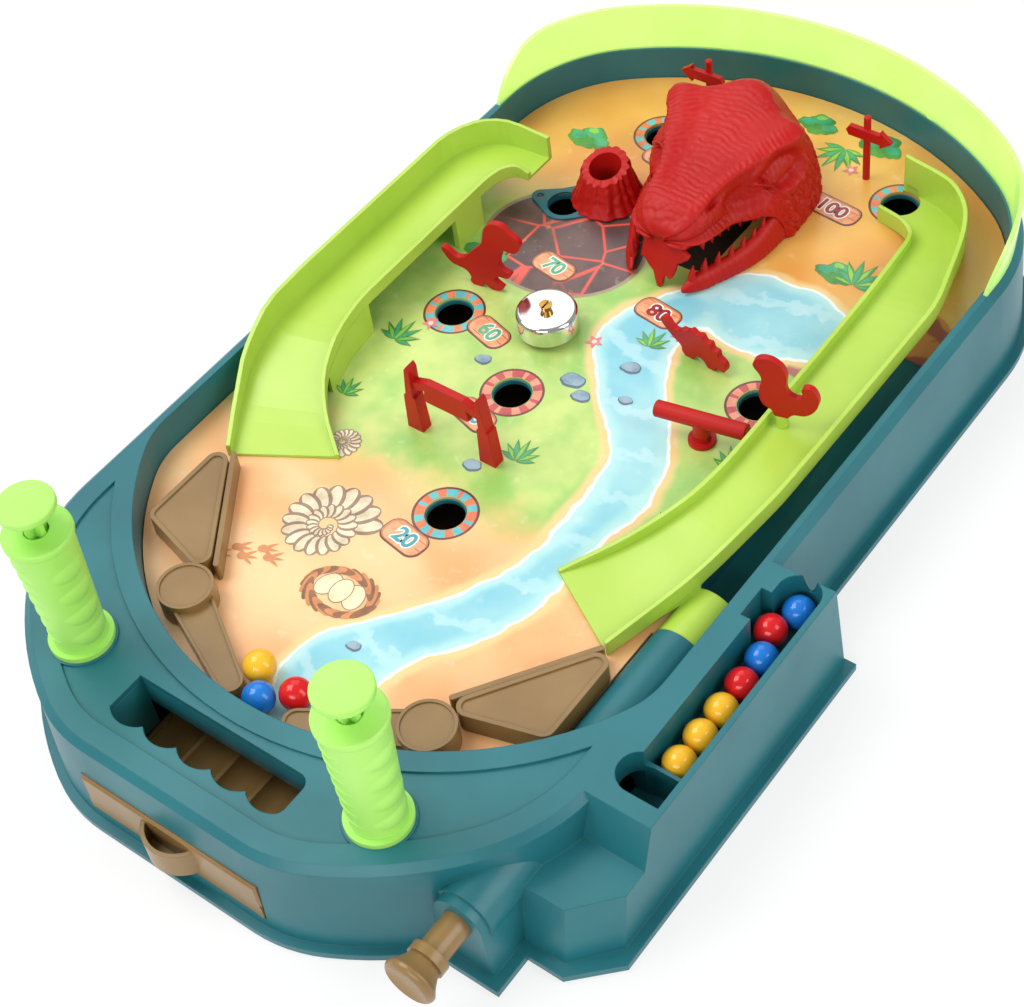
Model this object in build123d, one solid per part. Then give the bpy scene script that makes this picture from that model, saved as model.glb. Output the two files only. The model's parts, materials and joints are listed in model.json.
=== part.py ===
from build123d import *
import math
import os

# Tabletop pinball game with dinosaur figures, in millimetres.
# It rests on z = 0, the player sits at -Y, and x = 0 is the middle of the case.

# Case: a long tub with rounded ends
case_half_width = 134.0
case_draft = 3.0
rim_top = 51.0
rim_width = 6.0
rim_chamfer = 3.0
wall = 2.4
front_end = -234.0
front_flat_half = 52.5
front_flat_blend = 60.0
front_crown_bulge = 15.5
front_corner_share = 0.627
back_end = 249.5
back_crown_bulge = 40.0
back_corner_share = 0.575
flange_reach = 3.5
flange_height = 3.5

# Deck: the printed board lies on the deck plate of the case
board_top = 34.0
board_thickness = 1.2
deck_thickness = 2.2
deck_gap = 0.2
ledge_width = 4.0
ledge_thickness = 2.4
board_gap = 0.4
apron_edge_end = -184.8
apron_edge_bulge = 11.4
apron_corner_radius = 40.0
apron_hollow_back = -112.0
panel_margin = 9.0
panel_depth = 1.2

# Scoring holes in the deck
hole_radius = 8.2
hole_print_margin = 0.8
hole_places = [(-3.2, -60.6), (-20.8, 8.6), (-73.4, 35.5), (61.4, 195.3), (-60.7, 183.2), (-72.2, 118.6), (73.4, 56.7)]
mouth_hole_width = 34.0
mouth_hole_length = 46.0
mouth_hole_corner = 8.0
mouth_hole_back = 38.0

# Balls
ball_diameter = 13.6
ball_gap = 0.3
yellow_ball_place = (-12.7, -164.5)
blue_ball_place = (-2.9, -176.2)
red_ball_place = (8.2, -166.9)

# Flippers and the drum that turns each one
flipper_x = 62.2
flipper_y = -152.9
flipper_cap_radius = 11.8
flipper_cap_height = 11.4
flipper_arm_height = 8.6
flipper_reach = 51.0
flipper_root_radius = 9.0
flipper_tip_radius = 5.5
flipper_rest_angle = 28.0
flipper_lift = 0.3
flipper_border = 1.4
flipper_recess = 0.7
shaft_radius = 3.0
shaft_clearance = 0.06
drum_radius = 9.0
drum_bottom = 6.5
drum_height = 20.0
drum_groove = 4.2
drum_groove_depth = 3.2
flipper_swing = 43.0

# Handles and thumb buttons
handle_x = 75.6
handle_y = -196.0
handle_height = 65.0
handle_radius = 13.0
handle_low_radius = 10.7
handle_cap_radius = 13.8
handle_bore = 8.8
handle_foot_radius = 13.2
handle_foot_height = 2.4
handle_cap_thickness = 2.4
handle_spigot_radius = 9.6
finger_bulge_radius = 10.0
finger_bulge_reach = 1.0
finger_bulge_pitch = 12.6
button_radius = 11.4
button_thickness = 2.6
button_stroke = 11.0
button_spare = 1.6
stem_width = 9.0
stem_web = 2.2
stem_clearance = 0.4
stem_collar_radius = 8.4
stem_collar_thickness = 2.0
button_foot_top = 24.0
button_foot_height = 5.0
button_foot_width = 6.0
button_peg_radius = 1.5
button_spring_radius = 6.9
button_spring_wire = 1.0
button_spring_turns = 6
spring_seat_gap = 0.3

# Slingshot blocks and straight guides beside the flippers
sling_corners = [(103.0, -79.3), (103.4, -132.6), (57.5, -145.0)]
sling_height = 10.0
sling_round = 5.0
sling_border = 2.0
sling_recess = 0.8
guide_start = (96.0, -86.5)
guide_end = (60.3, -137.5)
guide_thickness = 2.4
guide_height = 9.0

# Ramps: open channels that climb from the deck
ramp_sheet = 2.0
ramp_foot = 1.4
ramp_floor = 18.0
ramp_lip = 5.0
left_ramp_wall = 13.5
right_ramp_wall = 7.0
ramp_end_wall = 19.0
ramp_leg_length = 19.0
ramp_leg_thickness = 3.0
ramp_leg_y = 79.5
right_run_start = 13.0
right_run_end = 114.0

# Launch lane and plunger on the right
lane_inset = 12.4
lane_z = 30.0
lane_bore = 8.6
lane_tube_radius = 12.2
lane_tube_start = -160.0
lane_tube_end = -66.0
lane_arch_end = -42.0
lane_trough_width = 19.0
lane_trough_end = 112.0
housing_radius = 11.0
housing_foot = 13.0
housing_front = -206.0
housing_length = 82.0
housing_wall = 4.0
plunger_rod_radius = 6.0
plunger_head_length = 19.0
plunger_tip_y = -121.0
plunger_head_gap = 0.3
plunger_travel = 32.0
plunger_collar_y = -221.0
plunger_collar_radius = 7.8
plunger_knob_radius = 10.8
plunger_knob_end = -235.5
plunger_spring_radius = 7.2
plunger_spring_wire = 1.0
plunger_spring_turns = 8

# Ball tray outside the right rim
tray_reach = 25.5
tray_foot_flare = 1.9
tray_back = -18.8
tray_back_top = -23.0
tray_front_top = -147.0
tray_wall = 2.6
tray_inset = 5.0
tray_floor = 31.0
tray_trough_back = -22.4
tray_divider_y = -119.4
tray_divider_thickness = 1.6
tray_divider_top = 42.0
pocket_front = -139.0
pocket_floor = 23.4
step_top = 32.0
step_front = -182.2
step_flare = 6.0
step_corner = 15.0
tray_row_inset = 8.4
tray_row_start = -112.2
tray_bay_y = -43.6
tray_bay_width = 15.0
tray_bay_depth = 4.4

# Drawer under the apron that collects the balls
drawer_half_width = 45.0
drawer_bottom = 8.8
drawer_top = 29.6
drawer_proud = 2.6
drawer_length = 72.0
drawer_wall = 2.0
drawer_clearance = 0.6
drawer_channels = 5
drawer_groove_radius = 9.4
drawer_travel = 45.0
pull_half_width = 13.4
pull_reach = 8.0
slot_half_width = 43.6
slot_back = -196.8
slot_front = -213.8
slot_wave = 3.6
slot_round = 5.0
runner_gap = 0.3

# Back guard: a leaning strip on the rim
guard_height = 23.0
guard_thickness = 2.0
guard_lean = 4.0
guard_start = 146.0
guard_taper = 38.0

# Bell
bell_x = -29.2
bell_y = 47.3
bell_radius = 13.9
bell_top = 13.5
bell_skirt = 10.0
bell_sheet = 1.4
bell_post_radius = 4.0
bell_pin_radius = 2.2
bell_pin_rise = 2.8

# Head, volcano and flat figures
head_x = -8.0
head_front = 97.0
head_length = 94.0
head_height = 50.0
head_half_width = 37.0
head_shell = 2.6
jaw_height = 8.5
mouth_height = 11.0
mouth_back = 51.0
tooth_radius = 1.5
tooth_height = 4.6
volcano_x = -57.6
volcano_y = 133.0
volcano_height = 22.0
volcano_front_height = 16.0
volcano_foot = 16.5
volcano_mouth = 11.0
volcano_bore = 7.6
volcano_flutes = 16
volcano_base_thickness = 1.0
figure_thickness = 3.0
figure_peg_height = 6.0
trex_place = (-70.0, 56.5)
hatchling_place = (-7.0, 94.3)
stegosaur_place = (38.5, 66.2)
sauropod_inset = 31.0
sauropod_y = 38.5
gate_left = -43.3
gate_right = -4.5
gate_y = -27.3
gate_height = 38.0
sign_height = 36.0
left_sign_place = (-46.5, 203.5)
right_sign_place = (38.6, 203.9)
sign_post_radius = 1.7
log_x = 64.6
log_y = 27.7
log_length = 41.0
log_radius = 3.7
log_axis_height = 12.6
log_angle = 11.0
log_pin_radius = 2.0
log_foot_radius = 6.0

# Underside
cover_thickness = 2.4
cover_gap = 0.2
boss_radius = 4.0
boss_edge = 4.0
boss_side_y = 60.0
boss_back_turn = 54.0
boss_front_x = 60.0
boss_front_edge = 15.0
screw_radius = 1.5
screw_head_radius = 3.0
screw_head_height = 1.4
screw_length = 10.0
chute_inset = 30.0
chute_back = 200.0
chute_front = -163.0
chute_high = 17.5
chute_low = 14.0
chute_thickness = 2.0
chute_lip = 6.0

# Worked-out values
deck_top = board_top - board_thickness
deck_under = deck_top - deck_thickness
ball_radius = ball_diameter / 2
deck_half = case_half_width - rim_width
front_crown_radius = case_half_width + front_crown_bulge
front_flat = math.sqrt(front_crown_radius ** 2 - front_flat_half ** 2)
front_crown_y = front_end + front_flat
front_corner_radius = case_half_width * front_corner_share
back_crown_radius = case_half_width + back_crown_bulge
back_crown_y = back_end - back_crown_radius
back_corner_radius = case_half_width * back_corner_share
apron_edge_radius = deck_half + apron_edge_bulge
apron_edge_y = apron_edge_end + apron_edge_radius
lane_x = deck_half - lane_inset
tray_inner = case_half_width + tray_inset
tray_outer_top = case_half_width + tray_reach
tray_outer_foot = tray_outer_top + tray_foot_flare
tray_row_x = tray_inner + tray_row_inset
drawer_front = front_end - drawer_proud
chute_half_width = deck_half - chute_inset
sauropod_x = deck_half - sauropod_inset
draft_angle = math.degrees(math.atan(case_draft / rim_top))
apron_under = rim_top - wall


def arc(x, y, radius, start, end):
    # arc about (x, y) between two angles in degrees
    middle = math.radians((start + end) / 2)
    first = math.radians(start)
    last = math.radians(end)
    points = [(x + radius * math.cos(a), y + radius * math.sin(a)) for a in (first, middle, last)]
    return ThreePointArc(*points)


def back_edges(half, grow):
    # right side, corner, crown, corner and left side of the rounded back
    corner = back_corner_radius + grow
    crown = back_crown_radius + grow
    cx = half - corner
    cy = back_crown_y + math.sqrt((crown - corner) ** 2 - cx ** 2)
    turn = math.degrees(math.atan2(cy - back_crown_y, cx))
    arcs = [arc(cx, cy, corner, 0, turn)]
    arcs.append(arc(0, back_crown_y, crown, turn, 180 - turn))
    arcs.append(arc(-cx, cy, corner, 180 - turn, 180))
    return arcs, cy


def case_outline(grow):
    # plan of the case at the rim, moved outward by grow
    half = case_half_width + grow
    arcs, back_y = back_edges(half, grow)
    corner = front_corner_radius + grow
    crown = front_crown_radius + grow
    cx = half - corner
    cy = front_crown_y - math.sqrt((crown - corner) ** 2 - cx ** 2)
    turn = math.degrees(math.atan2(cy - front_crown_y, cx))
    edges = [Line((half, cy), (half, back_y))] + arcs
    edges.append(Line((-half, back_y), (-half, cy)))
    edges.append(arc(-cx, cy, corner, 180, 180 - turn))
    flat = math.degrees(math.acos((front_flat + grow) / crown))
    left = arc(0, front_crown_y, crown, 180 - turn, 270 - flat)
    right = arc(0, front_crown_y, crown, 270 + flat, 360 + turn)
    edges += [left, Line(left @ 1, right @ 0), right]
    edges.append(arc(cx, cy, corner, 360 + turn, 360))
    face = make_face(edges)
    ends = [v for v in face.vertices() if abs(v.Y - front_crown_y + front_flat + grow) < 0.01]
    return fillet(ends, front_flat_blend + grow)


def deck_outline(grow):
    # plan of the playing field inside the rim, moved outward by grow
    half = case_half_width - rim_width + grow
    arcs, back_y = back_edges(half, grow - rim_width)
    radius = apron_edge_radius + grow
    meet = math.degrees(math.acos(half / radius))
    meet_y = apron_edge_y - radius * math.sin(math.radians(meet))
    edges = [Line((half, meet_y), (half, back_y))] + arcs
    edges.append(Line((-half, back_y), (-half, meet_y)))
    edges.append(arc(0, apron_edge_y, radius, 180 + meet, 360 - meet))
    face = make_face(edges)
    corners = [v for v in face.vertices() if abs(v.Y - meet_y) < 0.01]
    return fillet(corners, apron_corner_radius)


def boss_places():
    # screw posts along the wall: two on each side, two at the back, two at the front
    side = case_half_width - boss_edge
    arcs, corner_y = back_edges(case_half_width, 0)
    corner = back_corner_radius - boss_edge
    turn = math.radians(boss_back_turn)
    back_x = case_half_width - back_corner_radius + corner * math.cos(turn)
    back_y = corner_y + corner * math.sin(turn)
    right = [(side, boss_side_y), (side, -boss_side_y), (back_x, back_y), (boss_front_x, front_end + boss_front_edge)]
    return right + [(-x, y) for x, y in right]


def lift(sketch, z):
    return Pos(0, 0, z) * sketch


def block(x0, x1, y0, y1, z0, z1):
    # box between two corners
    middle = Pos((x0 + x1) / 2, (y0 + y1) / 2, (z0 + z1) / 2)
    return middle * Box(x1 - x0, y1 - y0, z1 - z0)


def rod_y(x, z, radius, y0, y1):
    # round bar along Y
    return Pos(x, (y0 + y1) / 2, z) * Rot(90, 0, 0) * Cylinder(radius, y1 - y0)


def post(x, y, radius, z0, z1):
    return Pos(x, y, (z0 + z1) / 2) * Cylinder(radius, z1 - z0)


def plan(points):
    return make_face(Polyline(*points, close=True))


def tapered_bar(ax, ay, a_radius, bx, by, b_radius):
    # plan of two round ends joined by the straight lines that touch both
    length = math.hypot(bx - ax, by - ay)
    turn = math.degrees(math.atan2(by - ay, bx - ax))
    touch = math.degrees(math.acos((a_radius - b_radius) / length))
    a_end = arc(0, 0, a_radius, touch, 360 - touch)
    b_end = arc(length, 0, b_radius, -touch, touch)
    shape = make_face([a_end, Line(a_end @ 1, b_end @ 0), b_end, Line(b_end @ 1, a_end @ 0)])
    return Pos(ax, ay) * Rot(0, 0, turn) * shape


def side_plate(points, x0, x1):
    # outline in Y and Z, extruded along X between x0 and x1
    face = Plane.YZ.offset(x0) * plan(points)
    return extrude(face, x1 - x0)


def flip(solid):
    return mirror(solid, about=Plane.YZ)


def step_plan(flare, foot):
    # plan of the low block in front of the ball tray
    front = step_front - flare
    right = tray_outer_top + foot
    inside = lane_x + housing_radius
    return plan([(inside, front), (right - step_corner, front), (right, front + step_corner + 2), (right, tray_front_top), (inside, tray_front_top)])


def tray_plan(front, right, back):
    return plan([(lane_x, front), (right, front), (right, back), (lane_x, back)])


def make_tray():
    # outer mass of the ball tray with its low front block
    slope = (step_top - rim_top) * 0.36
    foot = tray_plan(tray_front_top + slope * rim_top / (rim_top - step_top), tray_outer_foot, tray_back)
    top = tray_plan(tray_front_top, tray_outer_top, tray_back_top)
    body = loft([foot, lift(top, rim_top)], ruled=True)
    low = loft([step_plan(step_flare, tray_outer_foot - tray_outer_top), lift(step_plan(0, 0.7), step_top)], ruled=True)
    return body + low


def make_tray_hollow():
    under = tray_floor - wall
    right = tray_outer_top - wall
    left = case_half_width + case_draft
    pocket_under = pocket_floor - wall
    rear = block(left, right, tray_divider_y, tray_back_top - wall, -1, under)
    front = block(left, right, tray_front_top, tray_divider_y, -1, pocket_under)
    low = step_plan(-wall, -wall) & plan([(left, -300), (right, -300), (right, tray_front_top), (left, tray_front_top)])
    return rear + front + extrude(lift(low, -1), step_top - wall + 1)


def make_tray_trough():
    half = (tray_outer_top - tray_wall - tray_inner) / 2
    middle = tray_inner + half
    deep = rim_top - tray_floor + 1
    trough = block(tray_inner, tray_inner + 2 * half, tray_divider_y, tray_trough_back - half, tray_floor, tray_floor + deep)
    trough += post(middle, tray_trough_back - half, half, tray_floor, tray_floor + deep)
    bay = block(tray_inner - tray_bay_depth, middle, tray_bay_y - tray_bay_width / 2, tray_bay_y + tray_bay_width / 2, tray_floor, rim_top + 1)
    pocket_back = tray_divider_y - tray_divider_thickness
    pocket_round = (pocket_back - pocket_front) / 2
    pocket_y = (pocket_back + pocket_front) / 2
    right = tray_inner + 2 * half
    pocket = block(tray_inner + 4, right, pocket_front, pocket_back, pocket_floor, rim_top + 1)
    pocket += post(tray_inner + 4, pocket_y, pocket_round, pocket_floor, rim_top + 1)
    tunnel = block(lane_x, tray_inner, pocket_y - pocket_round + 1, pocket_y + pocket_round - 1, pocket_floor, lane_z + lane_bore)
    lowered = block(tray_inner, right, pocket_back - 1, tray_divider_y + 1, tray_divider_top, rim_top + 1)
    return trough + bay + pocket + tunnel + lowered


def make_flange():
    ring = extrude(case_outline(case_draft + flange_reach), flange_height)
    grow = flange_reach + 1
    front = step_front - step_flare - grow
    right = tray_outer_foot + grow
    cut = step_corner + 2
    skirt = plan([(lane_x, front), (right - cut, front), (right, front + cut), (right, tray_back + 1), (lane_x, tray_back + 1)])
    nose = plan([(lane_x - housing_foot - grow, housing_front - grow), (lane_x + housing_foot + grow, housing_front - grow), (lane_x + housing_foot + grow, front), (lane_x - housing_foot - grow, front + 30)])
    return ring + extrude(skirt, flange_height) + extrude(nose, flange_height)


def make_housing():
    # half-round nose that carries the plunger
    left = lane_x - housing_radius
    right = lane_x + housing_radius
    edges = [ThreePointArc((left, lane_z), (lane_x, lane_z + housing_radius), (right, lane_z))]
    edges.append(Polyline((right, lane_z), (lane_x + housing_foot, 0), (lane_x - housing_foot, 0), (left, lane_z)))
    face = Plane.XZ.offset(-housing_front) * make_face(edges)
    return extrude(face, -housing_length)


def make_trough_block(inset):
    # sloping trough of the launch lane, or its channel when inset is set
    start = lane_tube_end - 4
    low = lane_z - lane_bore
    half = lane_trough_width / 2
    if inset:
        shape = [(start, low), (lane_trough_end, board_top), (lane_trough_end, board_top + 1), (start, board_top + 1)]
        return side_plate(shape, lane_x - half, lane_x + half)
    end = lane_trough_end + 2
    shape = [(start, low - wall), (end, deck_under), (end, deck_top), (start, deck_top)]
    return side_plate(shape, lane_x - half - wall, deck_half)


def mouth_hole(grow):
    # plan of the large opening under the head
    shape = RectangleRounded(mouth_hole_width + 2 * grow, mouth_hole_length + 2 * grow, mouth_hole_corner + grow)
    return Pos(head_x, head_front + mouth_hole_back) * shape


def make_slot():
    # ball slot in the apron: straight at the back, gently waved at the front
    pitch = 2 * slot_half_width / drawer_channels
    edges = [Polyline((slot_half_width, slot_front), (slot_half_width, slot_back), (-slot_half_width, slot_back), (-slot_half_width, slot_front))]
    for number in range(drawer_channels):
        x = -slot_half_width + pitch * number
        edges.append(ThreePointArc((x, slot_front), (x + pitch / 2, slot_front - slot_wave), (x + pitch, slot_front)))
    shape = make_face(edges)
    shape = fillet([v for v in shape.vertices() if v.X > slot_half_width - 0.01], slot_round)
    low = apron_under - panel_depth - 1
    return extrude(lift(shape, low), rim_top + 1 - low)


def make_panel():
    # shallow crescent sunk into the top of the apron
    crescent = case_outline(-panel_margin - rim_chamfer) - Pos(0, apron_edge_y) * Circle(apron_edge_radius + panel_margin)
    front = plan([(-400, -400), (400, -400), (400, apron_hollow_back), (-400, apron_hollow_back)])
    shape = crescent & front
    for side in (-1, 1):
        shape -= Pos(side * handle_x, handle_y) * Circle(handle_foot_radius + 1)
    return extrude(lift(shape, rim_top - panel_depth), panel_depth + 1)


def lane_tube(radius, start):
    return rod_y(lane_x, lane_z, radius, start, lane_tube_end)


def make_shell():
    # tub with its rim, apron and ball tray in one
    body = extrude(case_outline(case_draft), rim_top, taper=draft_angle)
    top_edges = body.faces().sort_by(Axis.Z)[-1].edges()
    body = chamfer(top_edges, rim_chamfer)
    body += make_tray()
    body += make_housing()
    body += make_flange()
    ledge_low = deck_under - ledge_thickness
    body -= extrude(case_outline(case_draft - wall), ledge_low, taper=draft_angle)
    front = plan([(-400, -400), (400, -400), (400, apron_hollow_back), (-400, apron_hollow_back)])
    ring = (case_outline(-wall - 1) - deck_outline(wall)) & front
    body -= extrude(lift(ring, ledge_low - 1), apron_under - panel_depth - ledge_low + 1)
    body -= make_tray_hollow()
    body -= extrude(lift(deck_outline(0), deck_under), rim_top)
    body -= extrude(lift(deck_outline(-ledge_width), ledge_low - 1), ledge_thickness + 2)
    front_tube = housing_front + housing_wall
    body += rod_y(lane_x, lane_z, lane_tube_radius, front_tube, lane_tube_start)
    for x, y in boss_places():
        top = apron_under - panel_depth if y < apron_hollow_back else deck_under
        body += post(x, y, boss_radius, cover_thickness, top)
    half = lane_trough_width / 2 + wall
    body -= block(lane_x - half, deck_half, lane_tube_end - 4, lane_trough_end + 2, lane_z - lane_bore - wall, deck_top)
    body -= lane_tube(lane_tube_radius, lane_tube_start)
    body -= rod_y(lane_x, lane_z, lane_bore, front_tube, lane_tube_start + 1)
    body -= rod_y(lane_x, lane_z, plunger_rod_radius + shaft_clearance, housing_front - 30, front_tube + 1)
    body -= make_tray_trough()
    for side in (-1, 1):
        body -= post(side * handle_x, handle_y, handle_spigot_radius + cover_gap, apron_under - 2, rim_top + 1)
    body -= make_panel()
    body -= make_slot()
    reach = drawer_half_width + drawer_clearance
    body -= block(-reach, reach, drawer_front - 30, drawer_front + 30, drawer_bottom - drawer_clearance, drawer_top + drawer_clearance)
    for x, y in boss_places():
        body -= post(x, y, screw_radius, 0, cover_thickness + screw_length)
    return body


def tray_side():
    # everything right of the inner wall of the ball tray
    front = step_front - step_flare - 20
    return block(tray_inner, tray_outer_foot + 20, front, tray_back + 1, -1, rim_top + 1)


def make_lane():
    # tube and sloping trough that the launched ball runs in
    lane = make_trough_block(False) + lane_tube(lane_tube_radius, lane_tube_start)
    lane -= make_trough_block(True)
    lane -= rod_y(lane_x, lane_z, lane_bore, lane_tube_start - 1, lane_tube_end + 1)
    return lane - make_tray_trough()


def make_deck():
    # plate under the printed board, lying on the ledge of the case
    deck = extrude(lift(deck_outline(-deck_gap), deck_under), deck_thickness)
    for x, y in hole_places:
        deck -= post(x, y, hole_radius, deck_under - 1, deck_top + 1)
    deck -= extrude(lift(mouth_hole(0), deck_under - 1), deck_thickness + 2)
    for side in (-1, 1):
        deck -= post(side * flipper_x, flipper_y, shaft_radius + shaft_clearance, deck_under - 1, deck_top + 1)
    left = lane_x - lane_trough_width / 2 - wall - deck_gap
    deck -= block(left, case_half_width, apron_edge_end, lane_trough_end + 2 + deck_gap, deck_under - 1, deck_top + 1)
    left = lane_x - lane_tube_radius - deck_gap
    return deck - block(left, case_half_width, apron_edge_end, lane_tube_end + deck_gap, deck_under - 1, deck_top + 1)


def make_board():
    board = extrude(lift(deck_outline(-board_gap), deck_top), board_thickness)
    for x, y in hole_places:
        board -= post(x, y, hole_radius + hole_print_margin, deck_top - 1, board_top + 1)
    board -= extrude(lift(mouth_hole(hole_print_margin), deck_top - 1), board_thickness + 2)
    for side in (-1, 1):
        board -= post(side * flipper_x, flipper_y, shaft_radius + 1, deck_top - 1, board_top + 1)
    half = lane_trough_width / 2
    board -= block(lane_x - half, case_half_width, apron_edge_end, lane_trough_end, deck_top - 1, board_top + 1)
    board -= block(lane_x - lane_tube_radius - board_gap, case_half_width, apron_edge_end, lane_tube_end + board_gap, deck_top - 1, board_top + 1)
    return board


def make_cover():
    cover = extrude(case_outline(case_draft - wall - cover_gap - 0.2), cover_thickness)
    for x, y in boss_places():
        cover -= post(x, y, screw_radius, -1, cover_thickness + 1)
        cover -= post(x, y, screw_head_radius + cover_gap, -1, screw_head_height)
    rail_top = drawer_bottom - runner_gap
    for side in (-1, 1):
        x = side * drawer_half_width * 0.7
        cover += block(x - 2, x + 2, drawer_front + 12, drawer_front + drawer_length, cover_thickness, rail_top)
    for y in (chute_back - 30, chute_front + 40):
        share = (y - chute_front) / (chute_back - chute_front)
        under = chute_low + (chute_high - chute_low) * share - chute_thickness
        for side in (-1, 1):
            x = side * chute_half_width * 0.5
            cover += post(x, y, boss_radius, cover_thickness, under - 0.6)
    return cover


def make_screws():
    screws = []
    for x, y in boss_places():
        head = post(x, y, screw_head_radius, 0, screw_head_height)
        screws.append(head + post(x, y, screw_radius, 0, cover_thickness + screw_length))
    return Compound(children=screws)


def make_chute():
    # sloping plate under the holes that leads the balls to the drawer
    def slope(z):
        return [(chute_front, chute_low + z - chute_thickness), (chute_back, chute_high + z - chute_thickness)]
    low = slope(0)
    high = slope(chute_thickness)
    lip = slope(chute_thickness + chute_lip)
    neck = flipper_y + 18
    half = chute_half_width
    inner = drawer_half_width - 1
    sheet = side_plate(low + high[::-1], -half, half)
    side = side_plate(low + lip[::-1], half - chute_thickness, half)
    chute = sheet + side + flip(side)
    chute -= block(inner, half + 1, chute_front - 1, neck, -1, board_top)
    chute -= block(-half - 1, -inner, chute_front - 1, neck, -1, board_top)
    return chute


def make_guard():
    outer = extrude(lift(case_outline(-rim_chamfer), rim_top), guard_height, taper=-guard_lean)
    inner = extrude(lift(case_outline(-rim_chamfer - guard_thickness), rim_top), guard_height, taper=-guard_lean)
    far = back_end + guard_height
    top = rim_top + guard_height
    edges = [Line((guard_start, rim_top), (far, rim_top)), Line((far, rim_top), (far, top))]
    edges.append(Line((far, top), (guard_start + guard_taper, top)))
    edges.append(Spline((guard_start + guard_taper, top), (guard_start + guard_taper * 0.45, rim_top + guard_height * 0.72), (guard_start, rim_top)))
    reach = case_half_width + guard_height
    side = extrude(Plane.YZ.offset(-reach) * make_face(edges), 2 * reach)
    guard = (outer - inner) & side
    return guard


def blend(before, after, gap_before, gap_after):
    # slope at a station that keeps the curve from overshooting
    if before * after <= 0:
        return 0
    heavy = 2 * gap_after + gap_before
    light = gap_after + 2 * gap_before
    return (heavy + light) / (heavy / before + light / after)


def smooth(stations, steps):
    # more stations along the smooth curve through the given ones
    gaps = [math.hypot(b[0] + b[2] - a[0] - a[2], b[1] + b[3] - a[1] - a[3]) / 2 for a, b in zip(stations, stations[1:])]
    rises = [[(b - a) / gap for a, b in zip(low, high)] for low, high, gap in zip(stations, stations[1:], gaps)]
    slopes = [rises[0]]
    for number in range(1, len(gaps)):
        pairs = zip(rises[number - 1], rises[number])
        slopes.append([blend(a, b, gaps[number - 1], gaps[number]) for a, b in pairs])
    slopes.append(rises[-1])
    fine = [stations[0]]
    for number, gap in enumerate(gaps):
        for step in range(1, steps + 1):
            t = step / steps
            weights = (2 * t ** 3 - 3 * t ** 2 + 1, (t ** 3 - 2 * t ** 2 + t) * gap, 3 * t ** 2 - 2 * t ** 3, (t ** 3 - t ** 2) * gap)
            parts = (stations[number], slopes[number], stations[number + 1], slopes[number + 1])
            fine.append([sum(w * v for w, v in zip(weights, values)) for values in zip(*parts)])
    return fine


def channel(stations, steps):
    # open channel lofted through stations of
    # (inner x, inner y, outer x, outer y, floor, inner lip, outer lip)
    sections = []
    for inner_x, inner_y, outer_x, outer_y, floor, lip, rail in smooth(stations, steps):
        inner = Vector(inner_x, inner_y, board_top)
        outer = Vector(outer_x, outer_y, board_top)
        across = (outer - inner).normalized() * ramp_sheet
        up = Vector(0, 0, 1)
        points = [inner + up * (floor + lip), inner + across + up * (floor + lip), inner + across + up * floor]
        points += [outer - across + up * floor, outer - across + up * (floor + rail), outer + up * (floor + rail)]
        points += [outer + up * (floor - ramp_sheet + 0.6), inner + up * (floor - ramp_sheet + 0.6)]
        sections.append(make_face(Polyline(*points, close=True)))
    return loft(sections, ruled=True)


def skirt(points, low, sheet):
    # upright sheet below a ramp edge, through (x, y, top height)
    sections = []
    for x, y, top in points:
        base = Vector(x, y, board_top)
        corners = [base + Vector(0, 0, low), base + Vector(sheet, 0, low), base + Vector(sheet, 0, top), base + Vector(0, 0, top)]
        sections.append(make_face(Polyline(*corners, close=True)))
    return loft(sections, ruled=True)


def make_left_ramp():
    f = ramp_floor
    w = left_ramp_wall
    lip = ramp_lip
    side = -deck_half
    inner = side + 31.0
    stations = [
        (side + 67.5, -60.5, side + 24.5, -84.5, ramp_foot, 1.0, 5.0),
        (side + 50.0, -46.5, side + 12.0, -62.5, f * 0.30, lip * 0.8, w * 0.6),
        (side + 39.5, -32.0, side + 4.0, -44.0, f * 0.62, lip, w * 0.8),
        (side + 33.5, -12.0, side + 0.7, -20.0, f * 0.93, lip, w),
        (inner, 10.0, side + 0.5, 8.0, f, lip, w),
        (inner, 92.0, side + 0.5, 98.0, f, lip, w),
        (side + 32.5, 103.0, side + 7.0, 117.0, f, lip, w),
        (side + 37.5, 108.5, side + 21.0, 126.0, f, lip, w),
        (side + 43.5, 109.5, side + 43.5, 127.8, f, lip * 0.5, w * 0.85),
    ]
    ramp = channel(stations, 3)
    under = ramp_floor - ramp_sheet + 1
    ramp += skirt([(side + 39.5, -32.0, f * 0.62), (side + 33.5, -12.0, f * 0.93 - 0.5), (inner, 7.0, under)], 0, -ramp_sheet)
    half = ramp_leg_length / 2
    ramp += block(inner - ramp_leg_thickness, inner, ramp_leg_y - half, ramp_leg_y + half, board_top, board_top + under)
    return ramp


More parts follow.
